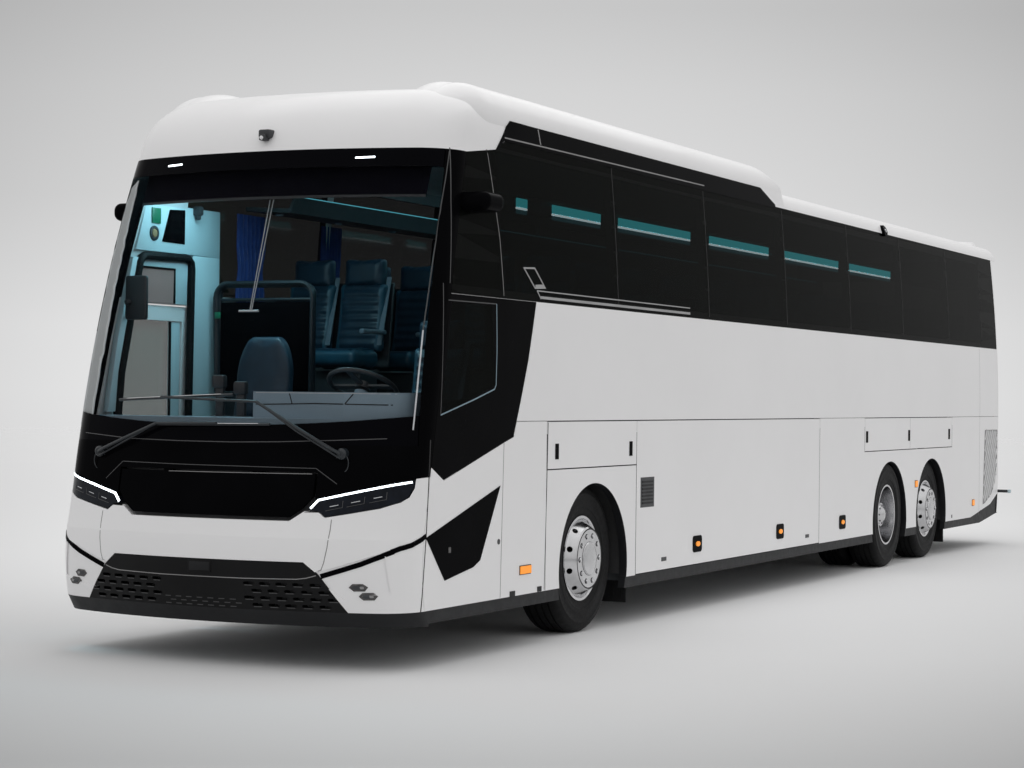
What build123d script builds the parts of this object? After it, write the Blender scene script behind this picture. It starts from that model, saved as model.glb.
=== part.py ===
from build123d import *
import math
import os

os.makedirs("parts", exist_ok=True)

# Tri-axle touring coach. Millimetres, +Z up, front towards -Y, the driver's side towards +X.
# Heights are above the road. A station is a distance behind the foremost point of the nose.

# ---- driving dimensions ----
LENGTH = 15000.0
WIDTH = 2550.0
FRONT_AXLE = 3000.0             # station of the front axle
REAR_OVERHANG = 3160.0          # tag axle to the tail
TAG_SPACING = 1540.0
SEAM = 4.0                      # gap between neighbouring panels
DOOR_GAP = 12.0                 # gap round a panel that opens
SKIN = 60.0                     # depth of a wall, door or lid
GLASS = 8.0

# wheels
TYRE_RADIUS = 520.0
TYRE_WIDTH = 298.0
TYRE_BORE = 286.0
RIM_FLANGE_RADIUS = 298.0
RIM_WIDTH = 270.0
FRONT_WHEEL_X = 1040.0          # centre planes of the single wheels
TAG_WHEEL_X = 1070.0
DUAL_OUTER_X = 1104.0           # centre plane of the outer drive wheel
DUAL_SPACING = 335.0
KINGPIN_X = 925.0
FRONT_STEER = 42.0
TAG_STEER = 14.0
HUB_RADIUS = 135.0
SPINDLE_RADIUS = 45.0
SPINDLE_PLAY = 0.05

# body levels
LIP_LOW = 262.0
SILL_LOW = 275.0
SILL_TOP = 355.0
SILL_INSET = 8.0
FLAP_LOW = 1166.0
WAIST = 1490.0
TUMBLE_START = 1500.0
NOSE_CREASE = 790.0
WINDOW_LOW = 2280.0
BAND_TOP = 3320.0               # upper edge of the dark window band
RAISED_TOP = 3450.0             # upper edge of the band where the roof is raised
FAIRING_TOP = 3660.0
TUMBLE_RADIUS = 20100.0

# nose
NOSE_RADIUS = 3400.0
CORNER_RADIUS = 300.0
TAIL_RADIUS = 7000.0
TAIL_CORNER = 160.0
MASK_TOP = 1345.0
SCREEN_TOP = 3180.0
LID_SKIN = 25.0                 # depth of the lid in the front mask

# floors
BAY_FLOOR_LOW = 320.0
BAY_FLOOR_TOP = 370.0
PLATFORM_TOP = 960.0
DECK_LOW = 1400.0
DECK_TOP = 1450.0
PLATFORM_END = 1950.0           # station where the deck starts

HALF = WIDTH / 2.0
FRONT = -LENGTH / 2.0
OUT = HALF + 50.0               # just outside the body, for cuts
TAG_AXLE = LENGTH - REAR_OVERHANG
DRIVE_AXLE = TAG_AXLE - TAG_SPACING
EPS = 0.3                       # seat clearance between separate pieces
BACKING_PLAY = 0.5              # clearance of a carrier behind a curved shell


def at(station):
    return FRONT + station


def side_x(z):
    """Half width of the body at a height: upright below, leaning in above."""
    rise = max(0.0, z - TUMBLE_START)
    return HALF - (TUMBLE_RADIUS - math.sqrt(TUMBLE_RADIUS ** 2 - rise ** 2))


def box(x0, x1, y0, y1, z0, z1):
    """A box between two corners."""
    return Pos((x0 + x1) / 2, (y0 + y1) / 2, (z0 + z1) / 2) * Box(abs(x1 - x0), abs(y1 - y0), abs(z1 - z0))


def span(x0, x1, s0, s1, z0, z1):
    """A box whose length is given by stations."""
    return box(x0, x1, at(s0), at(s1), z0, z1)


def front_prism(points, y0, y1):
    """An outline in (x, z) carried along the coach."""
    face = make_face(Polyline(*[(x, z) for x, z in points], close=True).edges())
    return extrude(Plane((0, y1, 0), x_dir=(1, 0, 0), z_dir=(0, -1, 0)) * face, y1 - y0)


def side_prism(points, x0, x1):
    """An outline in (station, z) carried across the coach."""
    face = make_face(Polyline(*[(at(s), z) for s, z in points], close=True).edges())
    return extrude(Plane((x0, 0, 0), x_dir=(0, 1, 0), z_dir=(1, 0, 0)) * face, x1 - x0)


def tube_x(radius, x0, x1, s, z):
    """A round bar across the coach."""
    bar = Cylinder(radius, abs(x1 - x0), rotation=(0, 90, 0))
    return Pos((x0 + x1) / 2, at(s), z) * bar


def mirror_x(shape):
    return mirror(shape, about=Plane.YZ)


def both(shape):
    return [shape, mirror_x(shape)]


# ---- nose and tail shells ----
# height, station of the nose on the centre line
NOSE_LINE = [
    (LIP_LOW, 95.0),
    (SILL_TOP, 30.0),
    (550.0, 0.0),
    (NOSE_CREASE, 10.0),
    (900.0, 38.0),
    (1215.0, 98.0),
    (MASK_TOP, 125.0),
    (TUMBLE_START, 158.0),
    (2000.0, 280.0),
    (2500.0, 422.0),
    (2850.0, 535.0),
    (SCREEN_TOP, 655.0),
]
# height, distance of the tail ahead of its rearmost point
TAIL_LINE = [
    (SILL_TOP, 60.0),
    (650.0, 6.0),
    (1000.0, 0.0),
    (TUMBLE_START, 8.0),
    (2050.0, 30.0),
    (2700.0, 75.0),
    (BAND_TOP, 130.0),
]


def plan_points(end_y, turn, half, depth, radius, corner):
    """Points of the plan curve of an end: side, corner, end, corner, side.
    turn is +1 at the nose and -1 at the tail."""
    corner_x = half - corner
    centre_y = end_y + turn * radius
    reach = math.sqrt((radius - corner) ** 2 - corner_x ** 2)
    corner_y = centre_y - turn * reach
    angle = math.atan2(corner_x, reach)
    middle = (angle + math.pi / 2) / 2
    big = radius - depth
    small = corner - depth

    def on(angle_at, r, cx, cy):
        return (cx + r * math.sin(angle_at), cy - turn * r * math.cos(angle_at))

    right = [on(angle, big, 0, centre_y), on(middle, small, corner_x, corner_y),
             (corner_x + small, corner_y)]
    left = [(-x, y) for x, y in reversed(right)]
    return left, (0, end_y + turn * depth), right


def plan_edges(end_y, turn, half, depth, radius, corner, tail):
    left, middle, right = plan_points(end_y, turn, half, depth, radius, corner)
    start = (left[0][0], left[0][1] + turn * tail)
    end = (right[2][0], right[2][1] + turn * tail)
    edges = [
        Line(start, left[0]),
        ThreePointArc(left[0], left[1], left[2]),
        ThreePointArc(left[2], middle, right[0]),
        ThreePointArc(right[0], right[1], right[2]),
        Line(right[2], end),
    ]
    return edges, start, end


def end_shell(line, turn, depth, thickness, radius, corner, tail=80.0):
    """A curved shell of an end of the body, lofted over the heights of a line.
    It is parted at the crease of the nose and where the sides start to lean in."""
    for level in (NOSE_CREASE, TUMBLE_START):
        low = [row for row in line if row[0] <= level]
        high = [row for row in line if row[0] >= level]
        if len(low) > 1 and len(high) > 1 and low[-1] == high[0]:
            return (end_shell(low, turn, depth, thickness, radius, corner, tail)
                    + end_shell(high, turn, depth, thickness, radius, corner, tail))
    sections = []
    for z, offset in line:
        end_y = at(offset) if turn > 0 else at(LENGTH - offset)
        outer, start, end = plan_edges(end_y, turn, side_x(z), depth, radius, corner, tail)
        inner, inner_start, inner_end = plan_edges(
            end_y, turn, side_x(z), depth + thickness, radius, corner, tail)
        ring = make_face(outer + [Line(end, inner_end)] + inner + [Line(inner_start, start)])
        sections.append(Pos(0, 0, z) * ring)
    return loft(sections)


def part_of(line, low, high):
    return [row for row in line if low <= row[0] <= high]


def corner_run(radius, corner):
    """Distance from the end of the body to where its corner meets the side."""
    return radius - math.sqrt((radius - corner) ** 2 - (HALF - corner) ** 2)


# The seam between nose and sides follows the nose line.
NOSE_SEAM = [(z, s + corner_run(NOSE_RADIUS, CORNER_RADIUS)) for z, s in NOSE_LINE]
TAIL_SEAM = [(z, LENGTH - s - corner_run(TAIL_RADIUS, TAIL_CORNER)) for z, s in TAIL_LINE]


def ahead_of_seam(gap, top=SCREEN_TOP):
    points = [(-500.0, NOSE_SEAM[0][0]), *[(s - gap, z) for z, s in NOSE_SEAM], (-500.0, top)]
    return side_prism(points, -OUT, OUT)


def behind_tail_seam(gap):
    points = [(LENGTH + 500, TAIL_SEAM[0][0]), *[(s + gap, z) for z, s in TAIL_SEAM],
              (LENGTH + 500, BAND_TOP)]
    return side_prism(points, -OUT, OUT)


nose_zone = ahead_of_seam(SEAM / 2)
tail_zone = behind_tail_seam(SEAM / 2)
lower_shell = end_shell(part_of(NOSE_LINE, SILL_TOP, MASK_TOP), 1, 0.0, SKIN, NOSE_RADIUS, CORNER_RADIUS)
lower_shell = lower_shell & nose_zone

# outlines seen from the front, as (x, z) of the driver's half
MASK_EDGE = [(570.0, 890.0), (650.0, 945.0), (680.0, 964.0), (733.0, 1024.0), (1290.0, 1160.0)]
LAMP_OUTLINE = [(680.0, 960.0), (733.0, 1020.0), (1243.0, 1144.0), (1240.0, 1096.0), (1226.0, 1044.0),
                (1196.0, 1015.0), (1103.0, 979.0), (934.0, 946.0), (788.0, 920.0), (748.0, 950.0)]
LAMP_MOUTH = [(655.0, 942.0), (690.0, 1010.0), (733.0, 1060.0), (1249.0, 1200.0), (1246.0, 1094.0),
              (1231.0, 1040.0), (1199.0, 1010.0), (1104.0, 974.0), (935.0, 941.0), (786.0, 914.0), (745.0, 944.0)]
GRILLE_OUTLINE = [(950.0, 340.0), (770.0, 580.0), (680.0, 650.0)]
GRILLE_INSET = [(940.0, 300.0), (940.0, 350.0), (764.0, 583.0), (676.0, 646.0)]
FOG_RECESS = [(729.0, 588.0), (842.0, 615.0), (1150.0, 716.0), (1179.0, 485.0), (925.0, 433.0), (850.0, 480.0)]
RECESS = 9.0                    # depth of the recess round the fog lamps
BUMPER_OUT = (1400.0, 1186.0)   # end of the mask's lower edge, beyond the corner
SCREEN_EDGE = [(1240.0, 1340.0), (1222.0, 1790.0), (1200.0, 2500.0), (1183.0, 2800.0), (1150.0, 3200.0)]
NOSE_DEPTH = (at(-100.0), at(1300.0))


def symmetric(points):
    return points + [(-x, z) for x, z in reversed(points)]


def raised(points, dz):
    return [(x, z + dz) for x, z in points]


def piece(node, *solids):
    """Write one node."""
    shapes = []
    for solid in solids:
        shapes.extend(solid.solids())
    shape = Compound(children=shapes) if len(shapes) > 1 else shapes[0]
    export_step(shape, "parts/" + node + ".step")
    print(node, len(shapes))


def cut(shape, *tools):
    for tool in tools:
        shape = shape - tool
    return shape


# ---- nose ----
LID_OUTLINE = [(560.0, 912.0), (640.0, 968.0), (700.0, 1040.0), (700.0, 1170.0)]
LID_MOUTH = [(704.0 + DOOR_GAP, 800.0), (704.0 + DOOR_GAP, 1170.0 + DOOR_GAP)]

grille_zone = front_prism(symmetric(GRILLE_OUTLINE), *NOSE_DEPTH)
lamp_zone = front_prism(LAMP_OUTLINE, *NOSE_DEPTH)
lamp_mouth = front_prism(LAMP_MOUTH, *NOSE_DEPTH)
bumper_zone = front_prism(symmetric([(BUMPER_OUT[0], 200.0), BUMPER_OUT, *reversed(MASK_EDGE)]), *NOSE_DEPTH)
bumper_shell = lower_shell & bumper_zone
recess = end_shell(part_of(NOSE_LINE, SILL_TOP, NOSE_CREASE), 1, 0.0, RECESS, NOSE_RADIUS, CORNER_RADIUS)
recess = recess & front_prism(FOG_RECESS, *NOSE_DEPTH)
front_bumper = cut(bumper_shell, grille_zone, lamp_mouth, mirror_x(lamp_mouth), recess, mirror_x(recess))
piece("front_bumper", front_bumper)

headlamp = lower_shell & lamp_zone
piece("headlamps", headlamp, mirror_x(headlamp))

lip = end_shell(part_of(NOSE_LINE, LIP_LOW, SILL_TOP), 1, 0.0, SKIN, NOSE_RADIUS, CORNER_RADIUS) & nose_zone
grille_inset = front_prism(symmetric(GRILLE_INSET), *NOSE_DEPTH)
TOW_X = -20.0
TOW_Z = 605.0
TOW_RADIUS = 15.0
TOW_BOSS = 28.0
TOW_DEPTH = 80.0
TOW_FACE = 14.0                 # station of the boss's front face
tow_hole = Pos(TOW_X, at(50.0), TOW_Z) * Cylinder(TOW_BOSS + 4.0, 400, rotation=(90, 0, 0))

# air slots in rows, every second row moved by half a pitch
SLOT_LENGTH = 72.0
SLOT_RADIUS = 9.0
SLOT_PITCH = 106.0
SLOT_START = 330.0              # middle of the first slot beside the plate
# height of a row, slots in it on each side, shift outwards
SLOT_ROWS = [(515.0, 5, 0.0), (472.0, 5, 0.5), (429.0, 6, 0.0), (386.0, 5, 0.5)]


def slot(x, z):
    """A slot with round ends through the nose."""
    reach = SLOT_LENGTH / 2 - SLOT_RADIUS
    outline = [Line((x - reach, z - SLOT_RADIUS), (x + reach, z - SLOT_RADIUS)),
               ThreePointArc((x + reach, z - SLOT_RADIUS), (x + reach + SLOT_RADIUS, z), (x + reach, z + SLOT_RADIUS)),
               Line((x + reach, z + SLOT_RADIUS), (x - reach, z + SLOT_RADIUS)),
               ThreePointArc((x - reach, z + SLOT_RADIUS), (x - reach - SLOT_RADIUS, z), (x - reach, z - SLOT_RADIUS))]
    face = Plane((0, NOSE_DEPTH[1], 0), x_dir=(1, 0, 0), z_dir=(0, -1, 0)) * make_face(outline)
    return extrude(face, NOSE_DEPTH[1] - NOSE_DEPTH[0])


slots = []
for height, count, shift in SLOT_ROWS:
    for index in range(count):
        slots.append(slot(SLOT_START + (index + shift) * SLOT_PITCH, height))
slots = slots + [mirror_x(one) for one in slots]
piece("lower_grille", cut((lower_shell & grille_inset) - tow_hole, *slots))

mask_zone = front_prism(symmetric([(0.0, 890.0 + SEAM), *raised(MASK_EDGE, SEAM),
                                   (BUMPER_OUT[0], BUMPER_OUT[1] + SEAM), (BUMPER_OUT[0], MASK_TOP + 10)]),
                        *NOSE_DEPTH)
lid_mouth = front_prism(symmetric(LID_MOUTH), *NOSE_DEPTH)
mask = (lower_shell & mask_zone) - lid_mouth

HINGE_X = 320.0
HINGE_WIDTH = 60.0
LID_TOP_Z = LID_OUTLINE[-1][1]
for x in (-HINGE_X, HINGE_X):
    mask = mask + span(x - HINGE_WIDTH / 2, x + HINGE_WIDTH / 2, 112.0, 140.0, LID_TOP_Z + EPS, LID_TOP_Z + 30)
lid_shell = end_shell(part_of(NOSE_LINE, 900.0, 1215.0), 1, 0.0, LID_SKIN, NOSE_RADIUS, CORNER_RADIUS)
mask_lid = lid_shell & front_prism(symmetric(LID_OUTLINE), *NOSE_DEPTH)
piece("mask_lid", mask_lid)

screen_line = part_of(NOSE_LINE, MASK_TOP, SCREEN_TOP)
screen_zone = front_prism(symmetric(SCREEN_EDGE), *NOSE_DEPTH)
screen_mouth = front_prism(symmetric([(x + SEAM, z) for x, z in SCREEN_EDGE]), *NOSE_DEPTH)
glass_shell = end_shell(screen_line, 1, 0.0, GLASS, NOSE_RADIUS, CORNER_RADIUS)
piece("windscreen", glass_shell & screen_zone)
post_shell = end_shell(screen_line, 1, 0.0, SKIN, NOSE_RADIUS, CORNER_RADIUS) & nose_zone
posts = post_shell - screen_mouth


# ---- sides ----
def side_slab(z0, z1, s0, s1, depth=0.0, thickness=SKIN):
    """A length of the left side wall between two heights."""
    steps = [z0, (z0 + z1) / 2, z1]
    if z0 < TUMBLE_START < z1:
        rise = [TUMBLE_START, (TUMBLE_START + z1) / 2, z1]
        outer = [Line((HALF - depth, z0), (HALF - depth, TUMBLE_START))]
        inner = [Line((HALF - depth - thickness, z0), (HALF - depth - thickness, TUMBLE_START))]
        steps = rise
    else:
        outer = []
        inner = []
    if z1 > TUMBLE_START:
        outer.append(ThreePointArc(*[(side_x(z) - depth, z) for z in steps]))
        inner.append(ThreePointArc(*[(side_x(z) - depth - thickness, z) for z in steps]))
    else:
        outer.append(Line((HALF - depth, z0), (HALF - depth, z1)))
        inner.append(Line((HALF - depth - thickness, z0), (HALF - depth - thickness, z1)))
    low = Line((side_x(z0) - depth - thickness, z0), (side_x(z0) - depth, z0))
    high = Line((side_x(z1) - depth, z1), (side_x(z1) - depth - thickness, z1))
    face = make_face(outer + inner + [low, high])
    return extrude(Plane((0, at(s1), 0), x_dir=(1, 0, 0), z_dir=(0, -1, 0)) * face, s1 - s0)


def seam_points(z0, z1, gap):
    return [(s + gap, z) for z, s in NOSE_SEAM if z0 < z < z1]


def seam_at(z):
    for (z0, s0), (z1, s1) in zip(NOSE_SEAM, NOSE_SEAM[1:]):
        if z0 <= z <= z1:
            return s0 + (s1 - s0) * (z - z0) / (z1 - z0)
    return NOSE_SEAM[-1][1]


def tail_at(z):
    for (z0, s0), (z1, s1) in zip(TAIL_SEAM, TAIL_SEAM[1:]):
        if z0 <= z <= z1:
            return s0 + (s1 - s0) * (z - z0) / (z1 - z0)
    return TAIL_SEAM[-1][1]


def front_run(z0, z1, gap):
    """The seam behind the nose, from z0 up to z1."""
    return [(seam_at(z0) + gap, z0), *seam_points(z0, z1, gap), (seam_at(z1) + gap, z1)]


def tail_run(z0, z1, gap):
    rows = [(s - gap, z) for z, s in TAIL_SEAM if z0 < z < z1]
    return [(tail_at(z0) - gap, z0), *rows, (tail_at(z1) - gap, z1)]


ARCH_RADIUS = 590.0
ARCH_Z = 460.0
HOUSING_RADIUS = 600.0
HOUSING_WALL = 8.0
HOUSING_IN = 500.0
FLAP_GAP = 8.0
FRONT_PANEL_END = FRONT_AXLE - 807.0
FRONT_FLAP = (FRONT_AXLE - 793.0, FRONT_AXLE + 750.0)
MID_DOOR = (DRIVE_AXLE - 1970.0, DRIVE_AXLE - 970.0)
BAY_DOOR = (FRONT_FLAP[1], MID_DOOR[0] - 298.0)
REAR_FLAP = (DRIVE_AXLE - 876.0, TAG_AXLE + 814.0)
BLACK_EDGE = [(602.0, 1214.0), (715.0, 1136.0), (1551.0, 1358.0), (1682.0, 1390.0),
              (1788.0, 1627.0), (1902.0, 1891.0), (2038.0, WINDOW_LOW)]
BLACK_AT_WAIST = 1727.0
CAP_EDGE = [(1110.0, SCREEN_TOP), (1530.0, 3236.0), (1700.0, BAND_TOP)]

AXLES = [FRONT_AXLE, DRIVE_AXLE, TAG_AXLE]
INNER_X = HALF - SKIN


def arch_cut(axle):
    return tube_x(ARCH_RADIUS, INNER_X - 60, HALF + 60, axle, ARCH_Z)


# lower fixed panels: nose panel, panels round the arches, tail quarter
left_front = side_slab(SILL_TOP, WAIST, 300, FRONT_PANEL_END)
left_front = left_front & side_prism(
    [*reversed(front_run(SILL_TOP, 1214.0, SEAM / 2)), (FRONT_PANEL_END, SILL_TOP),
     (FRONT_PANEL_END, WAIST - SEAM), (BLACK_AT_WAIST + SEAM, WAIST - SEAM),
     *[(s + SEAM, z - SEAM) for s, z in reversed(BLACK_EDGE[1:4])]], 0, OUT)
arch_front = side_slab(SILL_TOP, WAIST - SEAM, FRONT_PANEL_END + SEAM, FRONT_FLAP[1] - FLAP_GAP / 2)
arch_front = cut(
    arch_front, arch_cut(FRONT_AXLE),
    side_prism([(FRONT_FLAP[0] - FLAP_GAP, FLAP_LOW - FLAP_GAP), (FRONT_FLAP[1] + 50, FLAP_LOW - FLAP_GAP),
                (FRONT_FLAP[1] + 50, WAIST + 50), (FRONT_FLAP[0] - FLAP_GAP, WAIST + 50)], 1000, OUT))
rear_panel = side_slab(SILL_TOP, WAIST - SEAM, BAY_DOOR[1] + FLAP_GAP, LENGTH - 10)
rear_panel = rear_panel & side_prism(
    [(BAY_DOOR[1] + FLAP_GAP, SILL_TOP), *tail_run(SILL_TOP, WAIST - SEAM, SEAM / 2),
     (BAY_DOOR[1] + FLAP_GAP, WAIST - SEAM)], INNER_X - 60, OUT)
rear_mouth = side_prism(
    [(REAR_FLAP[0] - FLAP_GAP, FLAP_LOW - FLAP_GAP), (REAR_FLAP[1] + FLAP_GAP, FLAP_LOW - FLAP_GAP),
     (REAR_FLAP[1] + FLAP_GAP, WAIST + 50), (REAR_FLAP[0] - FLAP_GAP, WAIST + 50)], 1000, OUT)
# the black foot of the body sweeps up towards the tail
SWEEP_TOP = [(LENGTH - 1500.0, SILL_TOP), (LENGTH - 600.0, 471.0), (LENGTH - 121.0, 630.0), (LENGTH + 100.0, 690.0)]
SWEEP_LOW = [(LENGTH - 1062.0, SILL_LOW), (LENGTH - 208.0, 361.0), (LENGTH - 18.0, 555.0), (LENGTH + 20.0, 600.0)]
sweep_zone = side_prism([*SWEEP_TOP, (LENGTH + 100.0, 200.0), (LENGTH - 1500.0, 200.0)], -OUT, OUT)
rear_panel = cut(rear_panel, arch_cut(DRIVE_AXLE), arch_cut(TAG_AXLE), rear_mouth, sweep_zone)

DOOR_LOW = 372.0
DOOR_TOP = 2240.0
ENTRY_DOOR = [(575.0, DOOR_LOW), (640.0, 1214.0), (850.0, DOOR_TOP), (1640.0, DOOR_TOP), (1640.0, DOOR_LOW)]
MID_OUTLINE = [(MID_DOOR[0], DOOR_LOW), (MID_DOOR[0], DOOR_TOP), (MID_DOOR[1], DOOR_TOP), (MID_DOOR[1], DOOR_LOW)]


def grown(points, gap):
    """A convex outline moved out by a gap on each side of its middle."""
    s_mid = sum(s for s, z in points) / len(points)
    z_mid = sum(z for s, z in points) / len(points)
    return [(s + math.copysign(gap, s - s_mid), z + math.copysign(gap, z - z_mid)) for s, z in points]


# window openings behind the glass band, between pillars
PANE_SEAMS = [1480.0, 3420.0, 5250.0, (5250.0 + DRIVE_AXLE - 1300.0) / 2, DRIVE_AXLE - 1300.0, DRIVE_AXLE + 480.0,
              TAG_AXLE + 730.0, LENGTH - 980.0]
PILLAR = 90.0
PANE_LOW = 2330.0
PANE_TOP = 3230.0
upper_zone = side_prism(
    [*front_run(WINDOW_LOW - SEAM, SCREEN_TOP, SEAM / 2), *CAP_EDGE, *reversed(tail_run(WAIST, BAND_TOP, SEAM / 2)),
     (BLACK_AT_WAIST + SEAM, WAIST), *[(s + SEAM, z) for s, z in BLACK_EDGE[4:6]],
     (BLACK_EDGE[6][0] + SEAM, WINDOW_LOW - SEAM)], 1000, OUT)
wall = side_slab(WAIST, BAND_TOP, 300, LENGTH - 10) & upper_zone
wall = wall - side_slab(WINDOW_LOW, BAND_TOP + 50, 200, LENGTH + 100, 0.0, GLASS)
panes = []
for start, end in zip(PANE_SEAMS, PANE_SEAMS[1:]):
    panes.append(span(1000, HALF + 50, start + PILLAR / 2, end - PILLAR / 2, PANE_LOW, PANE_TOP))
wall = cut(wall, *panes)

glass_zone = side_prism(
    [*front_run(WINDOW_LOW + 1, SCREEN_TOP, SEAM / 2), *CAP_EDGE,
     *reversed(tail_run(WINDOW_LOW + 1, BAND_TOP, SEAM / 2))], 1000, OUT)
band = side_slab(WINDOW_LOW + 1, BAND_TOP, 300, LENGTH - 10, 0.0, GLASS) & glass_zone

DRIVER_WINDOW = [(828.0, 2225.0), (1376.0, 2225.0), (1419.0, 1721.0), (665.0, 1530.0)]
driver_panel = side_slab(1100.0, WINDOW_LOW - SEAM, 300, 2200)
driver_panel = driver_panel & side_prism(
    [*reversed(front_run(1214.0, WINDOW_LOW - SEAM, SEAM / 2)), *BLACK_EDGE[1:6],
     (BLACK_EDGE[6][0], WINDOW_LOW - SEAM)], 0, OUT)
driver_mouth = side_prism(DRIVER_WINDOW, 0, OUT)
driver_pane = side_slab(1500.0, 2240.0, 600, 1500, 0.0, GLASS) & side_prism(DRIVER_WINDOW, 0, OUT)
driver_panel = driver_panel - driver_mouth

piece("dark_panels", mask, posts, driver_panel)
piece("side_wall_left", wall, left_front, arch_front, rear_panel)
piece("side_glass_left", band, driver_pane)

# right side: doorways in place of the driver's panel and the service panel
right_front = side_slab(SILL_TOP, WINDOW_LOW - SEAM, 300, FRONT_PANEL_END)
right_front = right_front & side_prism(
    [*reversed(front_run(SILL_TOP, WINDOW_LOW - SEAM, SEAM / 2)), (FRONT_PANEL_END, SILL_TOP),
     (FRONT_PANEL_END, WINDOW_LOW - SEAM)], 0, OUT)
right_front = right_front - side_prism(grown(ENTRY_DOOR, DOOR_GAP), 0, OUT)
right_upper = side_prism(
    [(FRONT_PANEL_END + SEAM, WAIST), (FRONT_PANEL_END + SEAM, WINDOW_LOW - SEAM),
     *front_run(WINDOW_LOW - SEAM, SCREEN_TOP, SEAM / 2), *CAP_EDGE,
     *reversed(tail_run(WAIST, BAND_TOP, SEAM / 2))], 1000, OUT)
right_wall = side_slab(WAIST, BAND_TOP, 300, LENGTH - 10) & right_upper
right_wall = right_wall - side_slab(WINDOW_LOW, BAND_TOP + 50, 200, LENGTH + 100, 0.0, GLASS)
mid_mouth = side_prism(grown(MID_OUTLINE, DOOR_GAP), 1000, OUT)
right_wall = cut(right_wall, mid_mouth, *panes)
right_rear = rear_panel - mid_mouth
piece("side_wall_right", *[mirror_x(part) for part in (right_front, right_wall, arch_front, right_rear)])
piece("side_glass_right", mirror_x(band))

# sill, lip and tail bumper: the black band round the foot of the body
sill = side_slab(SILL_LOW, SWEEP_TOP[2][1], 300, LENGTH, SILL_INSET, SKIN - SILL_INSET)
sill = sill & side_prism(
    [*reversed(front_run(SILL_LOW, SILL_TOP, SEAM / 2)), *SWEEP_LOW[:2], *tail_run(SWEEP_LOW[1][1], 560.0, SEAM / 2),
     *reversed(SWEEP_TOP[:2])], 0, OUT)
sill = sill - side_prism([*SWEEP_TOP, (LENGTH + 100.0, 900.0), (LENGTH - 1500.0, 900.0)], 0, OUT)
sill = cut(sill, *[arch_cut(axle) for axle in AXLES])
full_tail = end_shell(part_of(TAIL_LINE, SILL_TOP, BAND_TOP), -1, 0.0, SKIN, TAIL_RADIUS, TAIL_CORNER)
full_tail = full_tail & behind_tail_seam(SEAM / 2)
under_zone = side_prism([*SWEEP_LOW, (LENGTH + 20.0, 200.0), (LENGTH - 1062.0, 200.0)], -OUT, OUT)
piece("black_skirt", lip, sill, mirror_x(sill), (full_tail & sweep_zone) - under_zone)

# ---- tail ----
tail_shell = full_tail - sweep_zone
TAIL_DEPTH = (at(LENGTH - 500.0), at(LENGTH + 100.0))
TAIL_CARRIER_LOW = 650.0
LID_HALF = 1000.0
ENGINE_LID = (680.0, 1500.0)
TAIL_PANE = (-950.0, 950.0, 2330.0, 3150.0)
LAMP_X = (1085.0, 1225.0)
LAMP_Z = (900.0, 1900.0)


def tail_rect(x0, x1, z0, z1):
    return front_prism([(x0, z0), (x1, z0), (x1, z1), (x0, z1)], *TAIL_DEPTH)


pane_zone = tail_rect(*TAIL_PANE)
lamp_box = tail_rect(*LAMP_X, *LAMP_Z)
lamp_hole = tail_rect(LAMP_X[0] - SEAM, LAMP_X[1] + SEAM, LAMP_Z[0] - SEAM, LAMP_Z[1] + SEAM)
lid_hole = tail_rect(-LID_HALF - FLAP_GAP, LID_HALF + FLAP_GAP, 600.0, ENGINE_LID[1] + FLAP_GAP)
tail_wall = cut(tail_shell, pane_zone, lamp_hole, mirror_x(lamp_hole), lid_hole)
piece("tail_wall", tail_wall)
tail_glass = end_shell(part_of(TAIL_LINE, SILL_TOP, BAND_TOP), -1, 0.0, GLASS, TAIL_RADIUS, TAIL_CORNER)
piece("tail_window", tail_glass & pane_zone)
tail_lamp = tail_shell & lamp_box
piece("tail_lamps", tail_lamp, mirror_x(tail_lamp))
engine_lid = tail_shell & tail_rect(-LID_HALF, LID_HALF, *ENGINE_LID)
piece("engine_lid", engine_lid)

# ---- roof ----
ROOF_SHOULDER = (1010.0, 3480.0)
ROOF_CROWN = 3525.0
ROOF_START = 1950.0
ROOF_END = LENGTH - 150.0


def roof_face(depth):
    edge = side_x(BAND_TOP) - depth
    shoulder_x = ROOF_SHOULDER[0] - depth * 0.5
    shoulder_z = ROOF_SHOULDER[1] - depth
    crown = ROOF_CROWN - depth
    bend = (edge - 55.0, (BAND_TOP + shoulder_z) / 2 + 30.0)
    right = ThreePointArc((edge, BAND_TOP), bend, (shoulder_x, shoulder_z))
    top = ThreePointArc((shoulder_x, shoulder_z), (0, crown), (-shoulder_x, shoulder_z))
    left = ThreePointArc((-shoulder_x, shoulder_z), (-bend[0], bend[1]), (-edge, BAND_TOP))
    return make_face([right, top, left, Line((-edge, BAND_TOP), (edge, BAND_TOP))])


def along(face, s0, s1):
    return extrude(Plane((0, at(s1), 0), x_dir=(1, 0, 0), z_dir=(0, -1, 0)) * face, s1 - s0)


roof_outer = along(roof_face(0.0), ROOF_START, ROOF_END)
roof_inner = along(roof_face(SKIN), ROOF_START - 10, ROOF_END - SKIN)
piece("roof_shell", roof_outer - roof_inner)

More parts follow.
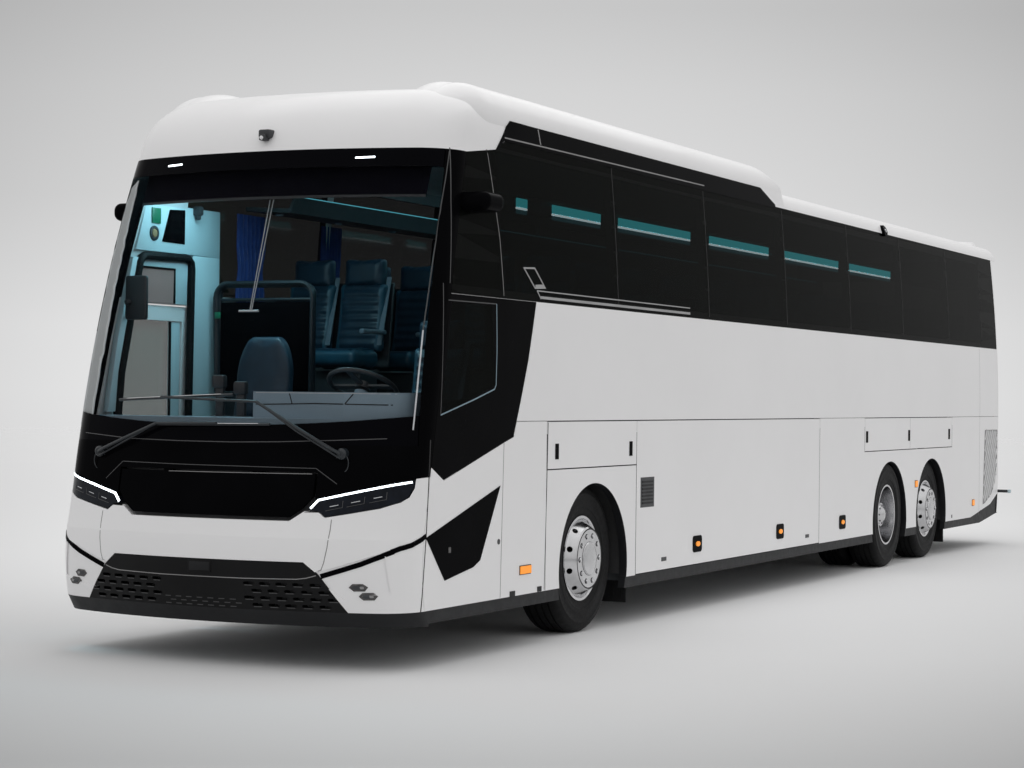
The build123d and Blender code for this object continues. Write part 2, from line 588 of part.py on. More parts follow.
FAIRING_PEAK = (940.0, 3668.0)
FAIRING_BEND = (1128.0, 3595.0)         # on the outer curve
FAIRING_BACK = (735.0, 3658.0)          # on the inner curve
FAIRING_IN = (540.0, 3540.0)
FAIRING_FOOT = [(520.0, 3480.0), (1000.0, 3330.0)]
FAIRING_NOSE = 1500.0                   # station where the fairing has its full height
fairing_face = make_face([
    Line(FAIRING_FOOT[1], (side_x(BAND_TOP), BAND_TOP)),
    Line((side_x(BAND_TOP), BAND_TOP), (side_x(RAISED_TOP), RAISED_TOP)),
    ThreePointArc((side_x(RAISED_TOP), RAISED_TOP), FAIRING_BEND, FAIRING_PEAK),
    ThreePointArc(FAIRING_PEAK, FAIRING_BACK, FAIRING_IN),
    Line(FAIRING_IN, FAIRING_FOOT[0]), Line(*FAIRING_FOOT)])
fairing = along(fairing_face, ROOF_START, 7250)
fairing = fairing & side_prism(
    [(ROOF_START, 3300.0), (ROOF_START, 3700.0), (6620.0, 3700.0), (7150.0, 3500.0), (7250.0, 3300.0)], 0, HALF)
fairing = fairing - roof_outer
piece("roof_fairings", fairing, mirror_x(fairing))

# station, then (x, z) of the foot, outer curve, peak, inner curve and inner foot of a section
FAIRING_NOSE_LINE = [
    (1130.0, (1085.0, 3400.0), (1052.0, 3510.0), (940.0, 3550.0), (800.0, 3535.0), (690.0, 3400.0)),
    (1280.0, (1150.0, 3400.0), (1112.0, 3558.0), (940.0, 3632.0), (750.0, 3615.0), (600.0, 3400.0)),
    (FAIRING_NOSE, (1180.0, 3400.0), FAIRING_BEND, FAIRING_PEAK, FAIRING_BACK, (525.0, 3400.0)),
]


def fairing_section(station, outer, bend, peak, back, inner):
    face = make_face([ThreePointArc(outer, bend, peak), ThreePointArc(peak, back, inner), Line(inner, outer)])
    return Plane((0, at(station), 0), x_dir=(1, 0, 0), z_dir=(0, -1, 0)) * face


fairing_nose = loft([fairing_section(*row) for row in FAIRING_NOSE_LINE])
fairing_root = make_face([
    ThreePointArc(FAIRING_NOSE_LINE[-1][1], FAIRING_BEND, FAIRING_PEAK),
    ThreePointArc(FAIRING_PEAK, FAIRING_BACK, FAIRING_NOSE_LINE[-1][5]),
    Line(FAIRING_NOSE_LINE[-1][5], FAIRING_NOSE_LINE[-1][1])])
fairing_nose = fairing_nose + along(fairing_root, FAIRING_NOSE, ROOF_START)

# height, station of the nose, half width
CAP_LINE = [
    (SCREEN_TOP, 655.0, side_x(SCREEN_TOP)),
    (3330.0, 722.0, side_x(3330.0)),
    (3450.0, 815.0, 1165.0),
    (3550.0, 950.0, 1090.0),
    (3600.0, 1090.0, 1000.0),
]


def cap_block(depth, top_drop, back):
    sections = []
    for z, station, half in CAP_LINE:
        left, middle, right = plan_points(at(station), 1, half, depth, NOSE_RADIUS, CORNER_RADIUS)
        start = (left[0][0], at(back))
        end = (right[2][0], at(back))
        edges = [Line(start, left[0]), ThreePointArc(*left), ThreePointArc(left[2], middle, right[0]),
                 ThreePointArc(*right), Line(right[2], end), Line(end, start)]
        height = z if z == SCREEN_TOP else z - top_drop
        sections.append(Pos(0, 0, height) * make_face(edges))
    return loft(sections)


cap_zone = side_prism(
    [(0.0, SCREEN_TOP), (CAP_EDGE[0][0], SCREEN_TOP), *CAP_EDGE[1:],
     (ROOF_START, BAND_TOP), (ROOF_START, 3700.0), (0.0, 3700.0)], -HALF, HALF)
cap = cap_block(0.0, 0.0, ROOF_START) + fairing_nose + mirror_x(fairing_nose)
cap = cap - cap_block(SKIN, SKIN, ROOF_START + 10)
piece("roof_cap", cap & cap_zone)

# ---- opening panels in the sides ----
LID_TOP = WAIST - FLAP_GAP
bay_door = side_slab(SILL_TOP + FLAP_GAP, LID_TOP, BAY_DOOR[0] + FLAP_GAP / 2, BAY_DOOR[1])
front_flap = side_slab(FLAP_LOW, LID_TOP, FRONT_FLAP[0], FRONT_FLAP[1] - FLAP_GAP / 2)
rear_flap = side_slab(FLAP_LOW, LID_TOP, REAR_FLAP[0], REAR_FLAP[1])
for name, panel in (("luggage_door", bay_door), ("front_flap", front_flap), ("rear_flap", rear_flap)):
    piece(name + "_left", panel)
    piece(name + "_right", mirror_x(panel))


# ---- passenger doors: leaf, glass and swing arm ----
ARM_LENGTH = 600.0
ARM_X = 1130.0                  # plane of the arms inside the leaf
COLUMN_RADIUS = 24.0
ARM_HALF = 14.0
PIN_RADIUS = 12.0
COLUMN_TOP = 780.0
PIN_PLAY = 0.05
ARM_HEIGHTS = [470.0, 720.0]
DOOR_FRAME = 110.0


def door_leaf(outline, window, pin_station):
    leaf = side_slab(DOOR_LOW, DOOR_TOP, outline[0][0] - 400, outline[-1][0] + 400)
    leaf = leaf & side_prism(outline, 1000, OUT)
    leaf = leaf - side_prism(window, 1000, OUT)
    for z in ARM_HEIGHTS:
        for side in (-1, 1):
            low = z + side * (ARM_HALF + 6) + (0 if side > 0 else -14)
            ear = span(ARM_X - 28, INNER_X, pin_station - 28, pin_station + 28, low, low + 14)
            bore = Pos(ARM_X, at(pin_station), low + 7) * Cylinder(PIN_RADIUS + PIN_PLAY, 30)
            leaf = leaf + (ear - bore)
    return mirror_x(leaf)


def swing_arm(pivot_station, pin_station):
    column = Pos(ARM_X, at(pivot_station), (ARM_FOOT + COLUMN_TOP) / 2) * Cylinder(COLUMN_RADIUS, COLUMN_TOP - ARM_FOOT)
    low, high = sorted((pivot_station, pin_station))
    for z in ARM_HEIGHTS:
        bar = span(ARM_X - ARM_HALF, ARM_X + ARM_HALF, low, high, z - ARM_HALF, z + ARM_HALF)
        pin = Pos(ARM_X, at(pin_station), z) * Cylinder(PIN_RADIUS, 2 * (ARM_HALF + 6 + 14))
        column = column + bar + pin
    return mirror_x(column)


STEP_LOW = 330.0
STEP_TOP = 372.0
ARM_FOOT = STEP_TOP + EPS
ENTRY_PIVOT = 800.0
MID_PIVOT = MID_DOOR[1] - 100.0
ENTRY_PIN = ENTRY_PIVOT + ARM_LENGTH
MID_PIN = MID_PIVOT - ARM_LENGTH
ENTRY_PANE = [(725.0, 820.0), (755.0, 1214.0), (940.0, 2140.0), (1530.0, 2140.0), (1530.0, 820.0)]
MID_PANE = [(MID_DOOR[0] + DOOR_FRAME, 820.0), (MID_DOOR[0] + DOOR_FRAME, 2140.0),
            (MID_DOOR[1] - DOOR_FRAME, 2140.0), (MID_DOOR[1] - DOOR_FRAME, 820.0)]
for name, outline, pane, pivot, pin in (
        ("entry_door", ENTRY_DOOR, ENTRY_PANE, ENTRY_PIVOT, ENTRY_PIN),
        ("mid_door", MID_OUTLINE, MID_PANE, MID_PIVOT, MID_PIN)):
    piece(name, door_leaf(outline, pane, pin))
    sheet = side_slab(DOOR_LOW, DOOR_TOP, outline[0][0] - 400, outline[-1][0] + 400, 4.0, GLASS)
    piece(name + "_glass", mirror_x(sheet & side_prism(pane, 1000, OUT)))
    piece(name + "_arm", swing_arm(pivot, pin))


# ---- wheel housings ----
def housing(axle):
    outer = tube_x(HOUSING_RADIUS + HOUSING_WALL, HOUSING_IN - HOUSING_WALL, INNER_X, axle, TYRE_RADIUS)
    inner = tube_x(HOUSING_RADIUS, HOUSING_IN, INNER_X + 10, axle, TYRE_RADIUS)
    low = span(0, HALF, axle - 700, axle + 700, -200, SILL_TOP + 20)
    gap = span(0, HOUSING_IN + 10, axle - 260, axle + 260, 0, 780)
    return cut(outer, inner, low, gap)


housings = []
for axle in AXLES:
    housings.extend(both(housing(axle)))
piece("wheel_housings", *housings)

# ---- floors and stairs ----
FLOOR_START = 640.0
STAIR_TREAD = 150.0
LANDING = 40.0                  # top edge of a flight, flush with its floor
BASE_IN = 1060.0                # inner edge of the lowest step
RISER = 40.0                    # thickness of the step up from the platform to the deck
PLATFORM_LOW = PLATFORM_TOP - 50.0
DECK_START = PLATFORM_END + RISER + EPS
DECK_END = LENGTH - 400.0
DUCT = 30.0                     # depth of the heating ducts along the walls
DUCT_RISE = 300.0
ENTRY_WELL = (FLOOR_START, 1720.0)
MID_WELL = (MID_DOOR[0] - 20.0, MID_DOOR[1] + 20.0)


def stair(top, treads, s0, s1):
    """A flight rising inwards from the door sill to a floor."""
    rise = (top - STEP_TOP) / (treads + 1)
    points = [(INNER_X, STEP_LOW), (INNER_X, STEP_TOP), (BASE_IN, STEP_TOP)]
    x = BASE_IN
    for index in range(treads):
        z = STEP_TOP + rise * (index + 1)
        points.extend([(x, z), (x - STAIR_TREAD, z)])
        x = x - STAIR_TREAD
    inner = x - LANDING
    points.extend([(x, top), (inner, top), (inner, STEP_LOW)])
    face = make_face(Polyline(*points, close=True).edges())
    return mirror_x(along(face, s0, s1)), inner


entry_stair, entry_edge = stair(PLATFORM_TOP, 2, *ENTRY_WELL)
mid_stair, mid_edge = stair(DECK_TOP, 3, *MID_WELL)
platform_left = span(-entry_edge + EPS, INNER_X, FLOOR_START, PLATFORM_END - EPS, PLATFORM_LOW, PLATFORM_TOP)
platform_right = span(-INNER_X, -entry_edge, ENTRY_WELL[1] + EPS, PLATFORM_END - EPS, PLATFORM_LOW, PLATFORM_TOP)
riser = span(-INNER_X, INNER_X, PLATFORM_END, PLATFORM_END + RISER, PLATFORM_LOW, DECK_TOP)
deck_left = span(-mid_edge + EPS, INNER_X, DECK_START, DECK_END, DECK_LOW, DECK_TOP)
deck_right = [span(-INNER_X, -mid_edge, s0, s1, DECK_LOW, DECK_TOP)
              for s0, s1 in ((DECK_START, MID_WELL[0] - EPS), (MID_WELL[1] + EPS, DECK_END))]
duct = span(INNER_X - DUCT, INNER_X, DECK_START, DECK_END, DECK_TOP + EPS, TUMBLE_START)
right_duct = mirror_x(duct) - span(-INNER_X, 0, *MID_WELL, 0, 2000)
driver_duct = span(INNER_X - DUCT, INNER_X, FLOOR_START, PLATFORM_END - EPS, PLATFORM_TOP + EPS,
                   PLATFORM_TOP + DUCT_RISE)
piece("floors", platform_left, platform_right, riser, deck_left, *deck_right, duct, right_duct, driver_duct,
      entry_stair, mid_stair)

BAY = (FRONT_AXLE + 640.0, MID_DOOR[0] - 60.0)
BULKHEAD = 40.0
bay_floor = span(-INNER_X, INNER_X, BAY[0], BAY[1], BAY_FLOOR_LOW, BAY_FLOOR_TOP)
bulkheads = [span(-INNER_X, INNER_X, s, s + BULKHEAD, BAY_FLOOR_LOW, DECK_LOW)
             for s in (BAY[0], BAY[1] - BULKHEAD)]
piece("luggage_bay", bay_floor + bulkheads[0] + bulkheads[1])

# ---- chassis ----
RAIL_X = (380.0, 440.0)
RAIL_Z = (640.0, 800.0)
FRONT_RAILS = (700.0, BAY[0])
REAR_RAILS = (DRIVE_AXLE - 850.0, DECK_END + 40.0)
HOUSING_FACE = HOUSING_IN - HOUSING_WALL
PAD_X = (RAIL_X[0] - 40.0, RAIL_X[1] + 40.0)
PAD_HALF = 70.0                 # half length of a jacking pad
PAD_DROP = 15.0
FRONT_PAD = 1300.0              # station of the middle of a pad
REAR_PAD = TAG_AXLE + 1060.0
CROSS = 80.0                    # width of a cross member along the coach
CROSS_Z = (RAIL_Z[0] + 20.0, RAIL_Z[1] - 20.0)


def frame_part(s0, s1, crosses, posts_at, pad):
    """Two rails with jacking pads, cross members, outriggers to the wheel housings and posts to the floors."""
    rail = span(*RAIL_X, s0, s1, *RAIL_Z)
    rail = rail + span(*PAD_X, pad - PAD_HALF, pad + PAD_HALF, RAIL_Z[0] - PAD_DROP, RAIL_Z[0])
    parts = both(rail)
    for s in crosses:
        parts.append(span(-RAIL_X[0] + EPS, RAIL_X[0] - EPS, s, s + CROSS, *CROSS_Z))
        parts.extend(both(span(RAIL_X[1] + EPS, HOUSING_FACE, s, s + CROSS, *CROSS_Z)))
    for s, top in posts_at:
        parts.extend(both(span(*RAIL_X, s, s + CROSS, RAIL_Z[1] + EPS, top)))
    return parts


front_frame = frame_part(
    *FRONT_RAILS, [800, FRONT_AXLE - 440, FRONT_AXLE + 360],
    [(900, PLATFORM_LOW), (1700, PLATFORM_LOW), (FRONT_AXLE - 600, DECK_LOW), (FRONT_AXLE + 500, DECK_LOW)],
    FRONT_PAD)
rear_frame = frame_part(
    *REAR_RAILS, [DRIVE_AXLE - 440, DRIVE_AXLE + 360, TAG_AXLE - 440, TAG_AXLE + 360,
                  REAR_RAILS[1] - 90],
    [(REAR_RAILS[0] + 50, DECK_LOW), (DRIVE_AXLE + 700, DECK_LOW), (TAG_AXLE + 860, DECK_LOW),
     (DECK_END - 100, DECK_LOW)], REAR_PAD)
BACKING = 40.0
nose_frame = end_shell(part_of(NOSE_LINE, SILL_TOP, MASK_TOP), 1, SKIN + BACKING_PLAY, BACKING,
                       NOSE_RADIUS, CORNER_RADIUS, 40.0)
tow_length = SKIN + BACKING
tow_boss = Pos(TOW_X, at(TOW_FACE + tow_length / 2), TOW_Z) * Cylinder(TOW_BOSS, tow_length, rotation=(90, 0, 0))
tow_bore = Pos(TOW_X, at(TOW_FACE + TOW_DEPTH / 2), TOW_Z) * Cylinder(TOW_RADIUS, TOW_DEPTH, rotation=(90, 0, 0))
nose_frame = (nose_frame + tow_boss) - tow_bore
tail_frame = end_shell(part_of(TAIL_LINE, SILL_TOP, BAND_TOP), -1, SKIN + BACKING_PLAY, BACKING,
                       TAIL_RADIUS, TAIL_CORNER, 120.0)
tail_frame = cut(tail_frame, tail_rect(-OUT, OUT, 0, TAIL_CARRIER_LOW), tail_rect(-900, 900, 720, 1460),
                 tail_rect(-900, 900, 2380, 3100))
piece("chassis_frame", *front_frame, *rear_frame, nose_frame, tail_frame)

ENGINE = (TAG_AXLE + 1310.0, DECK_END - 150.0)
engine = span(-370, 370, *ENGINE, 420, 1180)
mount = span(-RAIL_X[0], RAIL_X[0], ENGINE[0] + 200, ENGINE[0] + 400, RAIL_Z[0], RAIL_Z[1])
piece("engine_block", engine + mount)

# ---- axles ----
BEAM_RADIUS = 55.0
BOSS_RADIUS = 58.0
BOSS_HALF = 62.0
EAR_GAP = 6.0
EAR_HEIGHT = 45.0
KINGPIN_RADIUS = 24.0
KINGPIN_PLAY = 0.05
SPRING_RADIUS = 90.0
SPRING_X = (RAIL_X[0] + RAIL_X[1]) / 2
WHEEL_Z = TYRE_RADIUS
SPINDLE_END = 1150.0
WEB_X = (990.0, 1018.0)


def springs(axle):
    tall = RAIL_Z[0] - WHEEL_Z
    spring = Pos(SPRING_X, at(axle), WHEEL_Z + tall / 2) * Cylinder(SPRING_RADIUS, tall)
    return spring + mirror_x(spring)


def steer_axle(axle):
    beam = tube_x(BEAM_RADIUS, -KINGPIN_X, KINGPIN_X, axle, WHEEL_Z)
    boss = Pos(KINGPIN_X, at(axle), WHEEL_Z) * Cylinder(BOSS_RADIUS, 2 * BOSS_HALF)
    reach = BOSS_HALF + EAR_GAP + EAR_HEIGHT
    pin = Pos(KINGPIN_X, at(axle), WHEEL_Z) * Cylinder(KINGPIN_RADIUS, 2 * reach)
    end = boss + pin
    return beam + end + mirror_x(end) + springs(axle)


def knuckle(axle):
    low = BOSS_HALF + EAR_GAP
    middle = low + EAR_HEIGHT / 2
    ear = Cylinder(BOSS_RADIUS, EAR_HEIGHT) + Pos(45, 0, 0) * Box(90, 80, EAR_HEIGHT)
    ear = ear - Cylinder(KINGPIN_RADIUS + KINGPIN_PLAY, EAR_HEIGHT + 2)
    upper = Pos(KINGPIN_X, at(axle), WHEEL_Z + middle) * ear
    lower = Pos(KINGPIN_X, at(axle), WHEEL_Z - middle) * ear
    reach = low + EAR_HEIGHT
    web = box(*WEB_X, at(axle) - 70, at(axle) + 70, WHEEL_Z - reach, WHEEL_Z + reach)
    spindle = tube_x(SPINDLE_RADIUS, WEB_X[1] - 5, SPINDLE_END, axle, WHEEL_Z)
    return upper + lower + web + spindle


piece("axle_front", steer_axle(FRONT_AXLE))
piece("axle_tag", steer_axle(TAG_AXLE))
DRIVE_SPINDLE_END = 1150.0
# distance from the middle, radius
DRIVE_OUTLINE = [(DRIVE_SPINDLE_END, SPINDLE_RADIUS), (878.0, SPINDLE_RADIUS), (878.0, 75.0), (280.0, 75.0),
                 (150.0, 200.0), (60.0, 225.0)]
drive_points = [(DRIVE_SPINDLE_END, 0.0), *DRIVE_OUTLINE]
drive_points = drive_points + [(-x, r) for x, r in reversed(drive_points)]
drive_face = make_face(Polyline(*drive_points, close=True).edges())
drive = Pos(0, at(DRIVE_AXLE), WHEEL_Z) * revolve(drive_face, Axis.X)
piece("axle_drive", drive + springs(DRIVE_AXLE))
for name, axle in (("front", FRONT_AXLE), ("tag", TAG_AXLE)):
    piece("knuckle_" + name + "_left", knuckle(axle))
    piece("knuckle_" + name + "_right", mirror_x(knuckle(axle)))


# ---- wheels, turned about the X axis ----
def turned(points, x, axle):
    """A turned solid from an outline of (distance outwards, radius)."""
    face = make_face(Polyline(*[(u, r) for u, r in points], close=True).edges())
    solid = revolve(face, Axis.X)
    return Pos(x, at(axle), WHEEL_Z) * solid


def tyre(x, axle):
    half = TYRE_WIDTH / 2
    outline = [(-115, TYRE_BORE), (-half + 8, 345), (-half, 420), (-half + 6, 480), (-half + 30, TYRE_RADIUS - 8),
               (-half + 50, TYRE_RADIUS), (half - 50, TYRE_RADIUS), (half - 30, TYRE_RADIUS - 8),
               (half - 6, 480), (half, 420), (half - 8, 345), (115, TYRE_BORE)]
    return turned(outline, x, axle)


FLANGE = 12.0


# the open holes round a wheel's dish: number, radius, and place of the first on the dish as (outwards, radius)
HAND_HOLES = 10
HAND_HOLE_RADIUS = 21.0
HAND_HOLE_AT = (148.0, 239.0)
HAND_HOLE_LEAN = 33.3           # degrees the hole's axis leans from the wheel's radius
DUAL_HOLE_RADIUS = 26.0
DUAL_HOLE_AT = 195.0
HUB_FACE = 198.0                # outer face of the hub, from the wheel's centre plane
CAP_RADIUS = 118.0
END_PLAY = 5.0                  # between the spindle's end and the bottom of its bore


def single_rim(x, axle):
    half = RIM_WIDTH / 2
    hub_in = WEB_X[1] + 6 - x
    bore = SPINDLE_RADIUS + SPINDLE_PLAY
    bore_end = SPINDLE_END + END_PLAY - x
    outline = [
        (hub_in, bore), (hub_in, HUB_RADIUS), (170, HUB_RADIUS), (170, 200), (178, 208), (104, 256), (-115, 268),
        (-half, 280), (-half, RIM_FLANGE_RADIUS), (-half + FLANGE, RIM_FLANGE_RADIUS),
        (-half + FLANGE, TYRE_BORE - EPS), (half - FLANGE, TYRE_BORE - EPS), (half - FLANGE, RIM_FLANGE_RADIUS),
        (half, RIM_FLANGE_RADIUS), (half, 280), (118, 268), (188, 222), (HUB_FACE, 212), (HUB_FACE, CAP_RADIUS),
        (HUB_FACE + 6, CAP_RADIUS - 4), (HUB_FACE + 6, 0), (bore_end, 0), (bore_end, bore)]
    rim = turned(outline, x, axle)
    hole = Pos(x + HAND_HOLE_AT[0], 0, HAND_HOLE_AT[1]) * Rot(0, HAND_HOLE_LEAN, 0) * Cylinder(HAND_HOLE_RADIUS, 90)
    holes = [Pos(0, at(axle), WHEEL_Z) * (Rot(360 * index / HAND_HOLES, 0, 0) * hole) for index in range(HAND_HOLES)]
    return cut(rim, *holes)


def dual_rim(axle):
    half = RIM_WIDTH / 2
    outer = DUAL_OUTER_X
    inner = outer - DUAL_SPACING
    mid = (outer + inner) / 2
    bore = SPINDLE_RADIUS + SPINDLE_PLAY
    outline = [
        (886, bore), (886, HUB_RADIUS), (mid - 16, HUB_RADIUS), (mid - 16, 250), (inner + 60, 262),
        (inner - half, 280), (inner - half, RIM_FLANGE_RADIUS), (inner - half + FLANGE, RIM_FLANGE_RADIUS),
        (inner - half + FLANGE, TYRE_BORE - EPS), (inner + half - FLANGE, TYRE_BORE - EPS),
        (inner + half - FLANGE, RIM_FLANGE_RADIUS), (inner + half, RIM_FLANGE_RADIUS), (inner + half, 276),
        (outer - half, 276), (outer - half, RIM_FLANGE_RADIUS), (outer - half + FLANGE, RIM_FLANGE_RADIUS),
        (outer - half + FLANGE, TYRE_BORE - EPS), (outer + half - FLANGE, TYRE_BORE - EPS),
        (outer + half - FLANGE, RIM_FLANGE_RADIUS), (outer + half, RIM_FLANGE_RADIUS), (outer + half, 280),
        (outer - 60, 262), (mid + 16, 250), (mid + 16, HUB_RADIUS), (1180, HUB_RADIUS - 20), (1180, bore)]
    rim = turned(outline, 0, axle)
    hole = Pos(mid, 0, DUAL_HOLE_AT) * Cylinder(DUAL_HOLE_RADIUS, 60, rotation=(0, 90, 0))
    holes = [Pos(0, at(axle), WHEEL_Z) * (Rot(360 * index / HAND_HOLES, 0, 0) * hole) for index in range(HAND_HOLES)]
    return cut(rim, *holes)


for name, wheel_x, axle in (("front", FRONT_WHEEL_X, FRONT_AXLE), ("tag", TAG_WHEEL_X, TAG_AXLE)):
    wheel_tyre = tyre(wheel_x, axle)
    wheel_rim = single_rim(wheel_x, axle)
    piece("tyre_" + name + "_left", wheel_tyre)
    piece("tyre_" + name + "_right", mirror_x(wheel_tyre))
    piece("rim_" + name + "_left", wheel_rim)
    piece("rim_" + name + "_right", mirror_x(wheel_rim))
drive_tyres = [tyre(DUAL_OUTER_X, DRIVE_AXLE), tyre(DUAL_OUTER_X - DUAL_SPACING, DRIVE_AXLE)]
piece("tyre_drive_left", *drive_tyres)
piece("tyre_drive_right", *[mirror_x(one) for one in drive_tyres])
piece("rim_drive_left", dual_rim(DRIVE_AXLE))
piece("rim_drive_right", mirror_x(dual_rim(DRIVE_AXLE)))

# ---- driver's place ----
WHEEL_AT = (600.0, 900.0, 1700.0)      # x, station, z of the steering wheel's centre
STEER_TILT = 28.0
STEER_SHAFT = 14.0
steer_place = Pos(WHEEL_AT[0], at(WHEEL_AT[1]), WHEEL_AT[2]) * Rot(-STEER_TILT, 0, 0)
rim_ring = Torus(220, 15)
spokes = Box(420, 40, 14) + Pos(0, -105, 0) * Box(40, 210, 14)
steering = rim_ring + spokes + Cylinder(48, 40) + Pos(0, 0, -90) * Cylinder(STEER_SHAFT, 160)
piece("steering_wheel", steer_place * steering)

DASH_TOP = 1500.0
DASH_BACK = 720.0
BINNACLE = (150.0, 330.0, 1662.0)       # inner x, front station and top of the driver's instruments
PEDESTAL_TOP = 1350.0
DASH_DEPTH = SKIN + EPS + BACKING + 8.0
dash_left, dash_mid, dash_right = plan_points(at(125.0), 1, HALF, DASH_DEPTH, NOSE_RADIUS, CORNER_RADIUS)
dash_start = (dash_left[0][0], at(DASH_BACK))
dash_end = (dash_right[2][0], at(DASH_BACK))
dash_face = make_face([
    Line(dash_start, dash_left[0]), ThreePointArc(*dash_left), ThreePointArc(dash_left[2], dash_mid, dash_right[0]),
    ThreePointArc(*dash_right), Line(dash_right[2], dash_end), Line(dash_end, dash_start)])
dash = Pos(0, 0, PLATFORM_TOP + 150) * extrude(dash_face, DASH_TOP - PLATFORM_TOP - 150)
pedestal = span(WHEEL_AT[0] - 330, INNER_X - 31, DASH_BACK - 10, DASH_BACK + 190, PLATFORM_TOP, PEDESTAL_TOP)
binnacle = Pos(0, 0, DASH_TOP - 1) * extrude(dash_face, BINNACLE[2] - DASH_TOP + 1)
binnacle = binnacle & span(BINNACLE[0], HALF, BINNACLE[1], DASH_BACK, DASH_TOP - 1, BINNACLE[2])
dash = dash + pedestal + binnacle
column = Pos(0, 0, -205) * Cylinder(45, 330)
column_bore = Pos(0, 0, -100) * Cylinder(STEER_SHAFT + PIN_PLAY, 200)
dash = (dash + steer_place * column) - steer_place * column_bore
dash = dash - span(-HALF, -entry_edge + 5, FLOOR_START - 30, DASH_BACK + 10, 0, 2000)
piece("dashboard", dash)

# ---- seats ----
# (distance behind the cushion's front edge, height above the floor)
SEAT_PROFILE = [(0.0, 400.0), (0.0, 500.0), (30.0, 530.0), (395.0, 500.0), (470.0, 980.0), (490.0, 1195.0),
                (520.0, 1215.0), (590.0, 1215.0), (615.0, 1180.0), (600.0, 960.0), (550.0, 440.0), (420.0, 360.0),
                (400.0, 0.0), (120.0, 0.0), (120.0, 360.0)]
SEAT_X = (300.0, 1165.0)
SEAT_PITCH = 835.0
SEAT_LENGTH = 650.0
FIRST_SEAT = 2350.0
SEAT_ROWS = int((DECK_END - SEAT_LENGTH - FIRST_SEAT) // SEAT_PITCH) + 1


def seat(x0, x1, s, floor):
    points = [(s + ds, floor + dz) for ds, dz in SEAT_PROFILE]
    return side_prism(points, x0, x1)


seats = []
for row in range(SEAT_ROWS):
    start = FIRST_SEAT + row * SEAT_PITCH
    seats.append(seat(*SEAT_X, start, DECK_TOP))
    if start + SEAT_LENGTH < MID_WELL[0] or start > MID_WELL[1] + 50:
        seats.append(seat(-SEAT_X[1], -SEAT_X[0], start, DECK_TOP))
DRIVER_SEAT = (380.0, 860.0, 1395.0)
GUIDE_SEAT = (-670.0, -200.0, 980.0)
for x0, x1, start in (DRIVER_SEAT, GUIDE_SEAT):
    seats.append(seat(x0, x1, start, PLATFORM_TOP))
piece("seats", *seats)

# ---- partition behind the entry stairs: a panel with a round rail over it ----
RAIL_AT = 1830.0                # station of the partition
RAIL_RADIUS = 17.0
RAIL_SPAN = (-1090.0, -330.0)
RAIL_TOP = 2400.0
RAIL_MID = 2300.0
RAIL_PANEL = 1660.0             # top of the panel
RAIL_CORNER = 70.0
PANEL_HALF = 14.0
rail_path = FilletPolyline((RAIL_SPAN[0], 0, RAIL_PANEL - 100), (RAIL_SPAN[0], 0, RAIL_TOP),
                           (RAIL_SPAN[1], 0, RAIL_TOP), (RAIL_SPAN[1], 0, RAIL_PANEL - 100), radius=RAIL_CORNER)
rail_end = Plane((RAIL_SPAN[0], 0, RAIL_PANEL - 100), z_dir=(0, 0, 1)) * Circle(RAIL_RADIUS)
entry_rail = sweep(rail_end, path=rail_path)
entry_rail = entry_rail + Pos(0, 0, RAIL_MID) * (
    Pos((RAIL_SPAN[0] + RAIL_SPAN[1]) / 2, 0, 0)
    * Cylinder(RAIL_RADIUS - 4, RAIL_SPAN[1] - RAIL_SPAN[0], rotation=(0, 90, 0)))
entry_rail = entry_rail + box(*RAIL_SPAN, -PANEL_HALF, PANEL_HALF, PLATFORM_TOP + EPS, RAIL_PANEL)
piece("entry_rail", Pos(0, at(RAIL_AT), 0) * entry_rail)

# ---- luggage racks ----
RACK_Z = 2960.0
rack_wall = side_x(RACK_Z + 30) - SKIN - EPS
rack_face = make_face(Polyline(
    (rack_wall, RACK_Z), (780, RACK_Z - 20), (745, RACK_Z + 90), (760, RACK_Z + 95), (795, RACK_Z + 10),
    (rack_wall, RACK_Z + 30), close=True).edges())
rack = along(rack_face, 2250, LENGTH - 900)
piece("luggage_racks", rack, mirror_x(rack))

# ---- mirror camera pods ----
POD_AT = (1300.0, 1120.0, 2860.0)
POD_PLAY = 0.8
pod = fillet(Box(230, 260, 120).edges(), 50)
pod = Pos(POD_AT[0], at(POD_AT[1]), POD_AT[2]) * pod
pod = pod - side_slab(2300, 3300, 300, 2500, -POD_PLAY, 500)
piece("camera_pods", pod, mirror_x(pod))
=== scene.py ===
import math
import random

import bmesh
import bpy
from mathutils import Matrix, Vector
from mathutils.bvhtree import BVHTree


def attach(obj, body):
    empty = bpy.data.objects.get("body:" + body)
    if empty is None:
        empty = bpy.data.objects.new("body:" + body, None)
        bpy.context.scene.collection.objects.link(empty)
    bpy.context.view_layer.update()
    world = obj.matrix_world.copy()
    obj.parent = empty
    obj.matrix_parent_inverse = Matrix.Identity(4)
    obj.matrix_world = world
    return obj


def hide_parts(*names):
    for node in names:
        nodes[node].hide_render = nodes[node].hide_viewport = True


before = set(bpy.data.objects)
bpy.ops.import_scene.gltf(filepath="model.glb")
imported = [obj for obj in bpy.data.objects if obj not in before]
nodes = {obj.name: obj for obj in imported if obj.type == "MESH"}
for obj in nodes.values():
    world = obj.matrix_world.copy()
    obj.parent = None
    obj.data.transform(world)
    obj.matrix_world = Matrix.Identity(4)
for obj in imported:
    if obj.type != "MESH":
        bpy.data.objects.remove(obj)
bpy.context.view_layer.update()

NOSE = -7.5                     # y of the nose; a station is a distance behind it


def at(station):
    return station + NOSE


